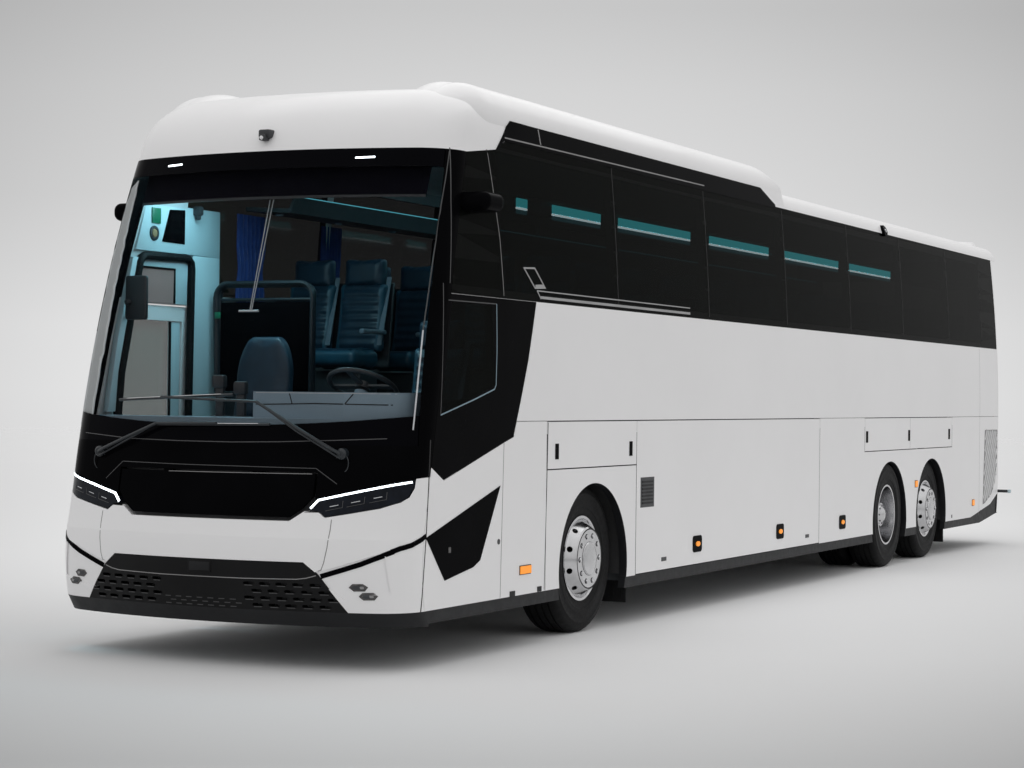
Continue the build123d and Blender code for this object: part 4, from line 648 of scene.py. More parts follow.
nose = Skin((0, -1, 0), ["front_bumper", "lower_grille", "dark_panels", "headlamps", "windscreen", "roof_cap",
                         "mask_lid"], 1.5, 2.75)
left = Skin((1, 0, 0), ["side_wall_left", "side_glass_left", "luggage_door_left", "front_flap_left",
                        "rear_flap_left", "black_skirt", "front_bumper", "dark_panels", "roof_cap", "roof_shell",
                        "tail_wall", "roof_fairings"], 7.725, 8.0)
tail = Skin((0, 1, 0), ["tail_wall", "engine_lid", "tail_window", "tail_lamps", "black_skirt"], 1.5, 2.6)
roof = Skin((0, 0, 1), ["roof_shell", "roof_cap", "roof_fairings"], 5.4, 6.2)

# ---- nose ----
LED_LINE = [(0.694, 0.968), (0.738, 1.018), (0.862, 1.047), (1.007, 1.080), (1.236, 1.131)]
led = Form("headlamp_leds", white_led, nose)
led.strip(LED_LINE, 0.012, 0.003, 0.008, 0.03)
led.mirrored().done(slot="lamp_glass")

module_glints = Form("headlamp_module_glints", faint_line, nose)
# x, z of each module's middle, half width, half height
MODULES = [(0.835, 0.986, 0.050, 0.020), (0.96, 1.012, 0.050, 0.020), (1.085, 1.040, 0.046, 0.022)]
SLANT = 0.22
# painted glints in each module: a faint bracket along its lower and outer edges and a silver dash across its middle
for x, z, half_w, half_h in MODULES:
    rise = SLANT * half_w
    module_glints.use(faint_line).strip([(x - half_w, z - half_h - rise), (x + half_w, z - half_h + rise),
                                  (x + half_w, z + half_h + rise)], 0.003, 0.002, 0.004, 0.03)
    module_glints.use(silver_and_highlight).strip([(x - half_w / 2, z - rise / 2), (x + half_w / 2, z + rise / 2)], 0.004, 0.002,
                             0.004, 0.02)
module_glints.mirrored().done(slot="lamp_glass")

lines = Form("nose_seams_and_highlights", seam_and_highlight_grey, nose)
lines.strip([(0.829, 0.905), (0.829, 0.840), (0.822, 0.740), (0.806, 0.650), (0.790, 0.606),
             (0.765, 0.598)], 0.005, 0.0008, 0.004)
# light line along the grille's crease: painted highlight, here at the ends and below across the middle
lines.strip([(0.640, 0.548), (0.700, 0.556), (0.760, 0.573)], 0.005, 0.0012, 0.004)
lines.mirrored()
lines.use(seam_and_highlight_grey).strip([(-0.640, 0.548), (-0.3, 0.542), (0.3, 0.542), (0.640, 0.548)], 0.005, 0.0012,
                           0.004)
# joint between the windscreen and the mask, and a painted highlight along the raised ledge above the mask lid
lines.use(faint_line).strip([(-1.10, 1.388), (-0.677, 1.361), (-0.27, 1.354), (0.131, 1.353), (0.45, 1.360),
                             (0.80, 1.374), (1.10, 1.388)], 0.005, 0.0012, 0.004)
lines.strip([(-0.838, 1.107), (-0.702, 1.217), (-0.2, 1.211), (0.207, 1.209), (0.702, 1.205), (0.838, 1.115)],
            0.004, 0.0012, 0.004)
# light line along the mask lid's edge: painted highlight
lines.use(seam_and_highlight_grey).strip([(-0.308, 1.168), (0.680, 1.172)], 0.0035, 0.0012, 0.004)
lines.done()

# black strip from the grille round the corner to the blade on the side
corner = Skin((0, -1, 0), ["front_bumper", "side_wall_left", "lower_grille"], 1.5, 2.75)
CORNER_STRIP = [(0.784, 0.568), (0.902, 0.606), (1.017, 0.645), (1.126, 0.691), (1.190, 0.722)]
CORNER_BEND = [(1.19, 0.23, 0.722), (1.235, 0.27, 0.741), (1.29, 0.346, 0.760), (1.30, 0.42, 0.782),
               (1.30, 0.500, 0.806)]
strips = Form("corner_strips", gloss_black, nose)
strips.strip(CORNER_STRIP, 0.030, 0.003, 0.010, 0.02)
strips.wrap(CORNER_BEND, 0.030, corner, 0.003, 0.010, 0.02)
strips.mirrored().done()

fogs = Form("fog_lamps", fog_grey, nose)
HEX = [(-0.056, 0.0), (-0.034, 0.021), (0.026, 0.023), (0.056, 0.004), (0.036, -0.021), (-0.026, -0.023)]
for x, z in ((1.005, 0.507), (1.062, 0.456)):
    fogs.use(fog_grey).laid([(x + dx, z + dz) for dx, dz in HEX], 0.0035, 0.008, 0.02)
    fogs.use(dash_dark).laid([(x + dx * 0.72, z + dz * 0.55) for dx, dz in HEX], 0.005, 0.008, 0.02)
    fogs.use(seam_and_highlight_grey).laid([(x + dx * 0.24 + 0.022, z + dz * 0.34) for dx, dz in HEX], 0.006, 0.008, 0.02)
fogs.mirrored().done(slot="lamp_glass")

markers = Form("marker_lights", white_led, nose)
for x in (-0.706, 0.706):
    markers.strip([(x - 0.062, 3.118), (x + 0.062, 3.122)], 0.011, 0.003, 0.006, 0.03)
markers.done(slot="lamp_glass")

camera_eye = Form("roof_camera", dash_dark)
cap_y = nose.point(0.0, 3.285).y
camera_eye.box((-0.042, cap_y - 0.05, 3.262), (0.042, cap_y + 0.04, 3.318), 0.012)
camera_eye.box((-0.022, cap_y - 0.075, 3.245), (0.022, cap_y - 0.01, 3.285), 0.008)
camera_eye.use(chrome).turned([(0.0, 0.0), (0.0, 0.014), (0.006, 0.012), (0.008, 0.0)],
                              (0.0, cap_y - 0.074, 3.262), (0, -1, 0), 16)
camera_eye.done()


STAND = 0.045                   # how far the wiper arms stand off the glass


def wiper(name, pivot, elbow, tip, blade):
    """Pivot, elbow, tip of the arm and both ends of the blade as (x, z) seen from the front."""
    form = Form(name, rail_black)
    foot = nose.point(*pivot)
    form.turned([(-0.02, 0.0), (-0.02, 0.036), (0.022, 0.034), (0.034, 0.022), (0.036, 0.0)], foot, (0, -1, 0), 20)

    def between(start, end, share, gap):
        place = Vector(start).lerp(Vector(end), share)
        return nose.point(*place) + Vector((0, -gap, 0))

    run = [between(pivot, elbow, share, gap) for share, gap in ((0.0, 0.03), (0.12, STAND), (0.5, STAND), (1.0, STAND))]
    form.tube(run, 0.011, 8)
    form.tube([run[0] + Vector((0, 0, -0.028)), run[2] + Vector((0, 0, -0.02)), run[3]], 0.006, 8)
    form.tube([between(elbow, tip, k / 10, STAND - 0.0015 * k) for k in range(11)], 0.0085, 8)
    rest = [between(*blade, k / 24, 0.012) for k in range(25)]
    form.tube(rest, 0.009, 6)
    form.use(chrome).tube([point + Vector((0, -0.012, 0.006)) for point in rest[2:-2]], 0.0022, 5)
    turns = [2 * math.pi * k / 20 for k in range(20)]
    form.use(rail_black).tube([foot + Vector((0.045 * math.sin(turn), -0.012, -0.055 + 0.058 * math.cos(turn)))
                               for turn in turns], 0.0035, 6, closed=True)
    form.done()


wiper("wiper_left", (0.855, 1.294), (0.287, 1.600), (-0.43, 1.622), ((-0.80, 1.600), (0.10, 1.640)))
wiper("wiper_right", (-0.915, 1.274), (-0.424, 1.459), (0.02, 1.466), ((-0.46, 1.452), (0.38, 1.462)))

# ---- sides, as (station, z) on the driver's side ----
marks = Form("side_seams", seam_black, left)
PANE_SEAMS = [3.42, 5.25, 7.15, 9.00, 10.78, 12.57, 14.02]
for station in PANE_SEAMS:
    marks.strip([(station, 2.30), (station - 0.012, 3.30)], 0.009, 0.0008, 0.004)
marks.mirrored().done()

side_lines = Form("driver_side_lines", seam_black, left)
side_lines.strip([(0.446, 0.352), (0.500, 0.80), (0.547, 1.381)], 0.010, 0.0008, 0.004)
side_lines.strip([(2.177, 0.36), (2.204, 1.094), (2.214, 1.478)], 0.007, 0.0008, 0.004)
side_lines.laid(rectangle(1.69, 0.372, 0.075, 0.034), 0.004, 0.008)
side_lines.laid(rectangle(2.10, 0.374, 0.062, 0.034), 0.004, 0.008)
side_lines.use(seam_and_highlight_grey)
side_lines.strip([(13.88, 0.36), (13.88, 2.26)], 0.004, 0.0006, 0.004)
side_lines.mirrored()
side_lines.strip([(1.513, 0.358), (1.545, 1.352)], 0.006, 0.0008, 0.004)
side_lines.done(slot="body_paint")

glass_lines = Form("glass_edge_lines", seam_and_highlight_grey, left)
SEAM_B = [(1.399, 3.225), (1.466, 2.907), (1.519, 2.654), (1.551, 2.295)]
glass_lines.strip(SEAM_B, 0.006, 0.0012, 0.004)
screen_side = Skin((1, 0, 0), ["windscreen", "dark_panels", "side_glass_left", "side_wall_left"], 7.725, 8.0)
SCREEN_EDGE = [(1.167, 0.955, 3.198), (1.179, 0.884, 3.011), (1.186, 0.809, 2.819), (1.197, 0.692, 2.474),
               (1.204, 0.562, 2.043), (1.212, 0.491, 1.741), (1.217, 0.426, 1.441)]
glass_lines.use(faint_line).wrap(SCREEN_EDGE[:5], 0.007, screen_side, 0.0015, 0.005, 0.05)
# lower part of the windscreen's side edge in silver: painted highlight of the light on the curved corner
glass_lines.use(silver_and_highlight).wrap(SCREEN_EDGE[4:], 0.009, screen_side, 0.0015, 0.005, 0.05)
glass_lines.use(faint_line).strip([(0.950, 3.188), (0.885, 2.855), (0.805, 2.339)], 0.007, 0.0012, 0.004)
glass_lines.mirrored()
DRIVER_PANE = [(0.781, 2.234), (1.442, 2.238), (1.437, 1.944), (1.422, 1.722), (1.400, 1.694), (1.107, 1.625),
               (0.668, 1.531)]
glass_lines.strip(DRIVER_PANE[:2], 0.006, 0.0012, 0.004)
glass_lines.strip([(0.739, 2.336), (0.707, 2.048), (0.668, 1.531)], 0.006, 0.0012, 0.004)
glass_lines.use(trace_blue).strip(DRIVER_PANE[1:], 0.008, 0.0014, 0.004)
glass_lines.done()

# outline and double line at the start of the window band
trace = Form("band_trace", line_grey, left)
LOZENGE = [(1.862, 2.492), (2.026, 2.500), (2.179, 2.377), (2.022, 2.369)]
trace.strip(LOZENGE, 0.012, 0.0015, 0.004, 0.04, closed=True)
trace.strip([(2.030, 2.378), (2.165, 2.386)], 0.026, 0.0014, 0.004, 0.04)
trace.strip([(2.052, 2.352), (4.83, 2.352)], 0.008, 0.0015, 0.004, 0.2)
trace.strip([(2.105, 2.310), (4.83, 2.310)], 0.018, 0.0015, 0.004, 0.2)
trace.strip([(2.052, 2.354), (2.110, 2.300)], 0.010, 0.0015, 0.004, 0.04)
trace.mirrored().done()

# dark strip under the roof edge, higher where the roof is raised
band = Form("raised_band", gloss_black, left)
RAISED_BAND = [(1.535, 3.238), (1.755, 3.447), (6.62, 3.452), (6.98, 3.335), (6.98, 3.305), (1.66, 3.305)]
band.laid(RAISED_BAND, 0.004, 0.012, 0.10)
band.use(seam_and_highlight_grey)
band.strip([(1.665, 3.327), (5.27, 3.345)], 0.009, 0.0052, 0.004, 0.2)
band.strip([(2.190, 3.440), (2.215, 3.340)], 0.014, 0.0052, 0.004, 0.05)
band.mirrored().done()

# black blade behind the front corner; the right one lies within the entry door's leaf and rides on it
BLADE = [(0.497, 0.794), (1.497, 1.078), (1.221, 0.618), (1.124, 0.580), (0.743, 0.522)]
DOOR_BLADE = [(0.615, 0.828), (1.497, 1.078), (1.221, 0.618), (1.124, 0.580), (0.743, 0.522), (0.615, 0.664)]
blade = Form("corner_blade_left", gloss_black, left)
blade.laid(BLADE, 0.003, 0.010, 0.06)
blade.done()
blade = Form("corner_blade_right", gloss_black, left)
blade.laid(DOOR_BLADE, 0.003, 0.005, 0.06)
for vertex in blade.mesh.verts:
    vertex.co.x *= -1
blade.done("entry_door")

# corner lamp stalks at the tail, and the camera on the cornice
stalk = Form("tail_stalks", dash_dark)
stalk.box((1.215, at(14.905), 0.588), (1.362, at(14.945), 0.622), 0.008)
stalk.use(trim_pale).box((1.356, at(14.900), 0.584), (1.392, at(14.950), 0.626), 0.010)
stalk.mirrored().done(slot="tail_lens")
watch = Form("cornice_camera", gloss_black, left)
watch.laid(arc((10.251, 3.350), 0.055, 0, 342, 19), 0.030, 0.040)
watch.use(silver_and_highlight).laid(arc((10.251, 3.350), 0.018, 0, 330, 11), 0.034, 0.010)
watch.done()

# lamps low on the sides: station, height, width and height of each plain one
lamps = Form("side_lamps", amber, left)
for station, z, wide, high in ((1.879, 0.516, 0.160, 0.050), (11.243, 0.800, 0.085, 0.062),
                               (13.608, 0.517, 0.085, 0.062)):
    lamps.use(dash_dark).laid(rectangle(station, z, wide + 0.012, high + 0.012), 0.003, 0.006)
    lamps.use(amber).laid(rectangle(station, z, wide, high), 0.010, 0.012)


def marker(form, station):
    """A round lamp on a dark plate."""
    plate = [*arc((station - 0.066, 0.482), 0.028, 180, 270, 4), *arc((station + 0.066, 0.482), 0.028, 270, 360, 4),
             *arc((station + 0.066, 0.554), 0.028, 0, 90, 4), *arc((station - 0.066, 0.554), 0.028, 90, 180, 4)]
    form.use(gloss_black).laid(plate, 0.006, 0.010, 0.05)
    lens = [(2 * u - station, v) for u, v in arc((station, 0.518), 0.020, 0, 342, 19)]
    form.use(amber).laid(lens, 0.014, 0.012)


lamps.use(seam_black)
for station in (12.68, 13.95):
    lamps.laid(rectangle(station, 0.402, 0.022, 0.034), 0.003, 0.006)
lamps.mirrored()
marker(lamps, 8.728)
lamps.use(dash_dark).laid(arc((1.482, 0.72), 0.018, 0, 330, 11), 0.003, 0.006)
lamps.use(fog_grey).laid(rectangle(0.800, 0.705, 0.030, 0.034), 0.005, 0.006)
lamps.done(slot="tail_lens")


SIDES = ((1, "left"), (-1, "right"))


def on_both(name, finish, body, draw):
    """A piece on the driver's side and its mirror image on the other."""
    for side, word in SIDES:
        form = Form(name + "_" + word, finish, left)
        draw(form)
        for vertex in form.mesh.verts:
            vertex.co.x *= side
        form.done(body + "_" + word)


def front_handles(form):
    for station in (2.356, 3.638):
        form.laid(rectangle(station, 1.282, 0.052, 0.105), 0.004, 0.006)


def rear_handles(form):
    for station in (9.49, 10.958, 12.534):
        form.laid(rectangle(station, 1.303, 0.062, 0.110), 0.004, 0.006)
    form.use(seam_and_highlight_grey).strip([(11.0, 1.17), (11.0, 1.478)], 0.004, 0.0006, 0.004)


def louvres(form):
    form.laid(rectangle(3.962, 0.955, 0.262, 0.222), 0.001, 0.006)
    for k in range(7):
        form.use(skirt_black).laid(rectangle(3.962, 0.876 + k * 0.026, 0.205, 0.013), 0.005, 0.006)
    form.use(dash_dark).laid(rectangle(4.30, 0.44, 0.10, 0.030), 0.002, 0.006)
    form.laid(rectangle(7.70, 0.44, 0.10, 0.030), 0.002, 0.006)
    for station in (4.990, 6.958):
        marker(form, station)


on_both("front_flap_handles", gloss_black, "front_flap", front_handles)
on_both("rear_flap_handles", gloss_black, "rear_flap", rear_handles)
on_both("bay_door_louvres", dash_dark, "luggage_door", louvres)


def inside(outline, u, v):
    """Whether a point lies in an outline."""
    hit = False
    for (u0, v0), (u1, v1) in zip(outline, outline[1:] + outline[:1]):
        if (v0 > v) != (v1 > v) and u < u0 + (u1 - u0) * (v - v0) / (v1 - v0):
            hit = not hit
    return hit


# light grey air inlet with slanting ribs ahead of the tail corner
inlet = Form("engine_inlet", mesh_grey, left)
INLET = [(14.060, 0.485), (14.150, 0.500), (14.420, 0.585), (14.600, 0.720), (14.655, 0.860), (14.690, 1.33),
         (14.130, 1.33)]
inlet.laid(INLET, 0.002, 0.008, 0.10)
inlet.use(rib_grey)
RIBS = 16
for k in range(RIBS):
    start = -0.62 + k * 0.118
    run = [(13.9 + t * 0.012, start + t * 0.016) for t in range(90)]
    run = [point for point in run if inside(INLET, *point)]
    if len(run) > 3:
        inlet.strip([run[0], run[-1]], 0.044, 0.006, 0.008, 0.08)
inlet.use(seam_and_highlight_grey).strip(INLET, 0.006, 0.0045, 0.006, 0.08, closed=True)
inlet.use(seam_black)
for k in range(6):
    u, v = 14.705 - 0.0014 * (5 - k) ** 2, 0.80 + 0.096 * k
    inlet.strip([(u - 0.002, v), (u, v + 0.045)], 0.014, 0.0015, 0.005, 0.05)
inlet.mirrored().done(slot="body_paint")

pods = Form("camera_lenses", chrome)
for x in (-1.352, 1.352):
    eye = (x, at(1.249), 2.86)
    pods.use(chrome).turned([(0.0, 0.0), (0.0, 0.030), (0.006, 0.030), (0.010, 0.022), (0.010, 0.0)], eye, (0, 1, 0),
                            24)
    pods.use(lamp_glass).turned([(0.009, 0.0), (0.009, 0.021), (0.014, 0.014), (0.016, 0.0)], eye, (0, 1, 0), 24)
pods.done()

# cover over the towing socket in the lower grille
cover = Form("tow_cover", grille_black, nose)
front_of = nose.point(0.12, 0.603).y
cover.box((-0.092, front_of - 0.005, 0.566), (0.076, front_of + 0.006, 0.642), 0.003)
cover.use(skirt_black).box((-0.080, front_of - 0.0065, 0.578), (0.064, front_of, 0.630), 0.002)
cover.use(faint_line)
# painted highlights: dashes along the lower lips of the slots, and three rows of dashes between the slotted fields
for z, count, shift in ((0.515, 5, 0.0), (0.472, 5, 0.5), (0.429, 6, 0.0), (0.386, 5, 0.5)):
    for k in range(count):
        for side in (-1, 1):
            x = side * (0.330 + (k + shift) * 0.106)
            cover.strip([(x - 0.026, z - 0.013), (x + 0.026, z - 0.013)], 0.005, 0.0012, 0.004)
for z, shift in ((0.412, 0.0), (0.390, 0.5), (0.368, 0.0)):
    for k in range(7):
        x = -0.25 + (k + shift) * 0.078
        cover.strip([(x - 0.020, z), (x + 0.020, z)], 0.005, 0.0012, 0.004)
cover.done(slot="grille_plastic")

# ---- wheels: middle planes and stations as in the CAD ----
AXLE_Z = 0.52
FRONT_X, TAG_X, DRIVE_X = 1.040, 1.070, (1.104, 0.769)
FRONT_STATION, DRIVE_STATION, TAG_STATION = 3.0, 10.3, 11.84
HUB_FACE = 0.198                # hub face outside the middle plane of a single wheel
DISH_X, DRIVE_HUB_X = 0.9525, 1.180


def nut_ring(form, middle, out, radius, count, size, sides):
    """Wheel nuts on dark washers."""
    for k in range(count):
        turn = 2 * math.pi * k / count
        centre = middle + Vector((0, math.cos(turn), math.sin(turn))) * radius
        form.use(seam_black).turned([(-0.002, 0.0), (-0.002, size * 1.42), (0.0012, size * 1.42), (0.0012, 0.0)],
                                    centre, out, 16)
        form.use(chrome).turned([(0.0, 0.0), (0.0, size), (size * 0.8, size * 0.92), (size * 0.95, size * 0.5),
                                 (size * 0.95, 0.0)], centre, out, sides, turn)


for end, x, station in (("front", FRONT_X, FRONT_STATION), ("tag", TAG_X, TAG_STATION)):
    for side, word in SIDES:
        out = Vector((side, 0, 0))
        face = Vector((side * (x + HUB_FACE), at(station), AXLE_Z))
        hub = Form("hub_trim_%s_%s" % (end, word), alloy)
        hub.turned([(0.0, 0.0), (0.0, 0.112), (0.008, 0.110), (0.013, 0.090), (0.016, 0.050), (0.017, 0.0)],
                   face, out, 40)
        hub.use(seam_black).turned([(-0.004, 0.203), (-0.004, 0.2125), (0.0012, 0.2125), (0.0012, 0.203)],
                                   face, out, 48)
        hub.turned([(-0.004, 0.113), (-0.004, 0.119), (0.0012, 0.119), (0.0012, 0.113)], face, out, 40)
        nut_ring(hub, face, out, 0.163, 10, 0.0135, 6)
        hub.done("wheel_%s_%s" % (end, word), "wheel_alloy")
for side, word in SIDES:
    out = Vector((side, 0, 0))
    hub = Form("hub_trim_drive_" + word, chrome)
    nut_ring(hub, Vector((side * DISH_X, at(DRIVE_STATION), AXLE_Z)), out, 0.162, 10, 0.0165, 6)
    end_face = Vector((side * DRIVE_HUB_X, at(DRIVE_STATION), AXLE_Z))
    hub.use(alloy).turned([(0.0, 0.0), (0.0, 0.104), (0.008, 0.100), (0.014, 0.075), (0.034, 0.055), (0.042, 0.035),
                           (0.044, 0.0)], end_face, out, 36)
    for k in range(8):
        turn = 2 * math.pi * k / 8
        spot = end_face + Vector((side * 0.009, math.cos(turn) * 0.086, math.sin(turn) * 0.086))
        hub.use(steel).turned([(0.0, 0.0), (0.0, 0.009), (0.007, 0.009), (0.007, 0.0)], spot, out, 6, turn)
    hub.done("wheel_drive_" + word, "wheel_alloy")

# half of a tyre's outline from the bead to the tread's middle: distance from the middle plane, radius
TYRE_HALF = [(0.115, 0.2865), (0.127, 0.300), (0.136, 0.325), (0.1405, 0.345), (0.1425, 0.352), (0.1452, 0.354),
             (0.1462, 0.372), (0.1480, 0.392), (0.1465, 0.396), (0.1490, 0.420), (0.1478, 0.446), (0.1492, 0.449),
             (0.1488, 0.456), (0.1462, 0.460), (0.1430, 0.482), (0.1330, 0.500), (0.1200, 0.5115), (0.1010, 0.5195),
             (0.0860, 0.5200), (0.0840, 0.5080), (0.0760, 0.5080), (0.0740, 0.5200), (0.0320, 0.5200),
             (0.0300, 0.5080), (0.0220, 0.5080), (0.0200, 0.5200)]
SHOULDER = 16                   # rows of the outline that the shoulder's notches move
TYRE_STEPS = 120
NOTCH = 0.006


def tyre_mesh(form, centre, side):
    """A tyre with four grooves and a notched shoulder."""
    profile = [(-u, r) for u, r in TYRE_HALF] + [(u, r) for u, r in reversed(TYRE_HALF)]
    verts = form.turned(profile, centre, (side, 0, 0), TYRE_STEPS)
    last = len(profile) - 1
    for row in (SHOULDER, SHOULDER + 1, last - SHOULDER, last - SHOULDER - 1):
        for k in range(0, TYRE_STEPS, 3):
            vertex = verts[row * TYRE_STEPS + k]
            spoke = Vector((0, vertex.co.y - centre[1], vertex.co.z - centre[2]))
            vertex.co -= spoke.normalized() * NOTCH


for end, middles, station in (("front", (FRONT_X,), FRONT_STATION), ("tag", (TAG_X,), TAG_STATION),
                              ("drive", DRIVE_X, DRIVE_STATION)):
    for side, word in SIDES:
        form = Form("treaded_%s_%s" % (end, word), rubber)
        for x in middles:
            tyre_mesh(form, (side * x, at(station), AXLE_Z), side)
        form.done("wheel_%s_%s" % (end, word), "tyre_rubber", 50.0, ("tyre_%s_%s" % (end, word),))

flaps = Form("mudflaps", rubber)
for station, low, x0 in ((3.665, 0.16, 0.90), (12.475, 0.13, 0.92)):
    flaps.box((x0, at(station), low), (1.235, at(station) + 0.010, 0.62), 0.004)
    for k in range(5):
        x = x0 + 0.05 + k * 0.06
        flaps.box((x, at(station) - 0.004, low + 0.03), (x + 0.012, at(station) + 0.002, 0.58), 0.0015, 1)
flaps.mirrored().done(slot="tyre_rubber")

# ---- tail ----
rear = Form("tail_lamp_parts", amber, tail)
for z0, z1, finish in ((1.62, 1.86, amber), (0.93, 1.05, silver_and_highlight)):
    rear.use(finish).laid([(1.095, z0), (1.215, z0), (1.215, z1), (1.095, z1)], 0.003, 0.008, 0.05)
for z in (1.06, 1.33, 1.61):
    rear.use(seam_black).strip([(1.090, z), (1.222, z)], 0.007, 0.0035, 0.006)
for z in (1.195, 1.47, 1.74):
    rear.use(rib_grey).strip(arc((1.155, z), 0.042, 0, 360, 24), 0.004, 0.0045, 0.004, 0.02)
rear.mirrored()
rear.use(red_lens).laid([(-0.32, 3.235), (0.32, 3.235), (0.32, 3.262), (-0.32, 3.262)], 0.004, 0.008, 0.08)
rear.done(slot="tail_lens")

# louvres of the engine lid, and the blank plate in its holder
vents = Form("engine_lid_vents", skirt_black, tail)
for k in range(9):
    z = 1.045 + k * 0.042
    for x0 in (-0.86, 0.09):
        vents.laid([(x0, z), (x0 + 0.77, z), (x0 + 0.77, z + 0.020), (x0, z + 0.020)], 0.002, 0.007, 0.12)
vents.laid(rectangle(0.0, 0.845, 0.58, 0.150), 0.003, 0.008, 0.1)
vents.use(plate_white).laid(rectangle(0.0, 0.845, 0.52, 0.112), 0.006, 0.008, 0.1)
vents.use(chrome).laid(rectangle(0.0, 0.955, 0.12, 0.018), 0.010, 0.012, 0.05)
vents.done("engine_lid")


def grid(wide, deep):
    """Faces between rows of points, all of one width."""
    return [(i * wide + k, i * wide + k + 1, (i + 1) * wide + k + 1, (i + 1) * wide + k)
            for i in range(deep - 1) for k in range(wide - 1)]


# low spoiler across the end of the roof: station and height of its rows
lip = Form("roof_tail_lip", paint)
LIP_ROWS = [(14.30, 0.004), (14.55, 0.034), (14.76, 0.060), (14.80, 0.058), (14.815, 0.004)]
ACROSS_LIP = [-0.98, -0.95, -0.60, 0.0, 0.60, 0.95, 0.98]
LIP_ENDS, LIP_SUNK = 0.15, 0.006
top, base = [], []
for station, rise in LIP_ROWS:
    for x in ACROSS_LIP:
        ground = roof.point(x, station)
        height = rise * (LIP_ENDS if abs(x) == ACROSS_LIP[-1] else 1.0)
        top.append(ground + Vector((0, 0, height)))
        base.append(ground - Vector((0, 0, LIP_SUNK)))
wide, deep = len(ACROSS_LIP), len(LIP_ROWS)
under = wide * deep
faces = grid(wide, deep)
faces += [tuple(under + index for index in reversed(face)) for face in faces]
rim = [*range(wide)] + [i * wide + wide - 1 for i in range(1, deep)]
rim += [(deep - 1) * wide + k for k in range(wide - 2, -1, -1)] + [i * wide for i in range(deep - 2, 0, -1)]
faces += [(a, a + under, b + under, b) for a, b in zip(rim, rim[1:] + rim[:1])]
lip.shell(top + base, faces)
lip.done(slot="body_paint")

tail_lines = Form("tail_lines", seam_and_highlight_grey, tail)
tail_lines.strip([(-1.23, 1.96), (1.23, 1.96)], 0.005, 0.0008, 0.004, 0.1)
tail_lines.strip([(-1.17, 2.28), (1.17, 2.28)], 0.005, 0.0008, 0.004, 0.1)
tail_lines.use(gloss_black).strip([(-0.965, 2.315), (0.965, 2.315), (0.965, 3.165), (-0.965, 3.165)], 0.030,
                                  0.0015, 0.006, 0.1, closed=True)
tail_lines.done()

# ---- cabin ----
racks = Form("rack_lights", cyan_led)
# lit edge of the rack behind each side pane
PANES = [(1.86, 2.02), (2.42, 3.23), (3.56, 4.98), (5.41, 6.82), (7.25, 8.78), (9.14, 10.50)]
for start, end in PANES:
    racks.use(cyan_led).box((1.186, at(start), 2.896), (1.196, at(end), 2.955), 0.002, 1)
    racks.use(strip_led).box((1.184, at(start), 2.882), (1.196, at(end), 2.895), 0.002, 1)
    racks.use(cyan_dim).box((1.186, at(start), 2.852), (1.194, at(end), 2.881), 0.002, 1)
for x in (-1, 1):
    racks.use(cyan_dim).box((x * 0.742, at(2.26), 3.052), (x * 0.750, at(14.05), 3.058), 0.002, 1)
    racks.use(dash_grey)
    for k in range(14):
        station = 2.42 + k * 0.835
        racks.turned([(0.0, 0.0), (0.0, 0.030), (-0.012, 0.026), (-0.014, 0.0)], (x * 0.98, at(station), 2.945),
                     (0, 0, 1), 16)
racks.done(slot="rack_plastic")


# ---- entry side of the cab ----
def plate(form, outline, x0, x1, bevel=0.0):
    """A flat panel on the inside of a side wall, outlined as (station, z) and reaching from x0 to x1."""
    return form.prism([(x0, at(station), z) for station, z in outline], (x1 - x0, 0, 0), bevel)


WALL_IN, TRIM_FACE = -1.205, -1.165  # inner face of the wall and of its trim
entry = Form("entry_trim", trim_pale)
plate(entry, [(0.93, 2.60), (1.93, 2.60), (1.93, 2.925), (1.04, 2.925)], WALL_IN, TRIM_FACE, 0.004)
plate(entry, [(1.60, 1.02), (1.93, 1.02), (1.93, 2.599), (1.60, 2.599)], WALL_IN, TRIM_FACE, 0.004)
plate(entry, [(0.64, 1.52), (0.740, 1.52), (0.772, 1.78), (0.955, 2.46), (0.965, 2.55), (0.90, 2.55), (0.74, 2.0)],
      WALL_IN, TRIM_FACE, 0.003)
plate(entry, [(1.405, 2.255), (1.545, 2.255), (1.555, 2.55), (0.985, 2.54), (0.975, 2.495), (1.405, 2.495)],
      WALL_IN, TRIM_FACE - 0.012, 0.002)
entry.use(transom_glass)
plate(entry, [(0.905, 2.255), (1.405, 2.255), (1.405, 2.495), (0.975, 2.495)], WALL_IN, TRIM_FACE - 0.020)
GASKET = [(0.745, 1.50), (0.775, 1.78), (0.950, 2.44), (0.968, 2.515), (0.992, 2.548), (1.03, 2.565), (1.50, 2.577),
          (1.545, 2.570), (1.575, 2.545), (1.583, 2.50), (1.570, 1.90), (1.555, 1.02)]
entry.use(rubber).tube([(TRIM_FACE, at(station), z) for station, z in GASKET], 0.030, 10, flat=0.9)
entry.tube([(TRIM_FACE - 0.018, at(station), z) for station, z in
            ((0.905, 2.257), (0.975, 2.492), (1.403, 2.494), (1.403, 2.257))], 0.009, 8)
entry.use(sign_green)
plate(entry, rectangle(1.150, 2.842, 0.100, 0.105), TRIM_FACE - 0.002, TRIM_FACE + 0.008, 0.002)
entry.use(gloss_black)
plate(entry, [(1.222, 2.671), (1.490, 2.669), (1.491, 2.905), (1.312, 2.895)], TRIM_FACE - 0.002, TRIM_FACE + 0.006,
      0.003)
entry.use(dash_dark).turned(
    [(0.0, 0.0), (0.0, 0.052), (0.010, 0.050), (0.012, 0.034), (0.006, 0.030), (0.008, 0.0)],
    (TRIM_FACE - 0.002, at(1.130), 2.722), (1, 0, 0), 28)
entry.use(tan_cone).turned([(0.0, 0.0), (0.0, 0.030), (0.008, 0.026), (0.012, 0.0)],
                           (TRIM_FACE + 0.003, at(1.130), 2.722), (1, 0, 0), 24)
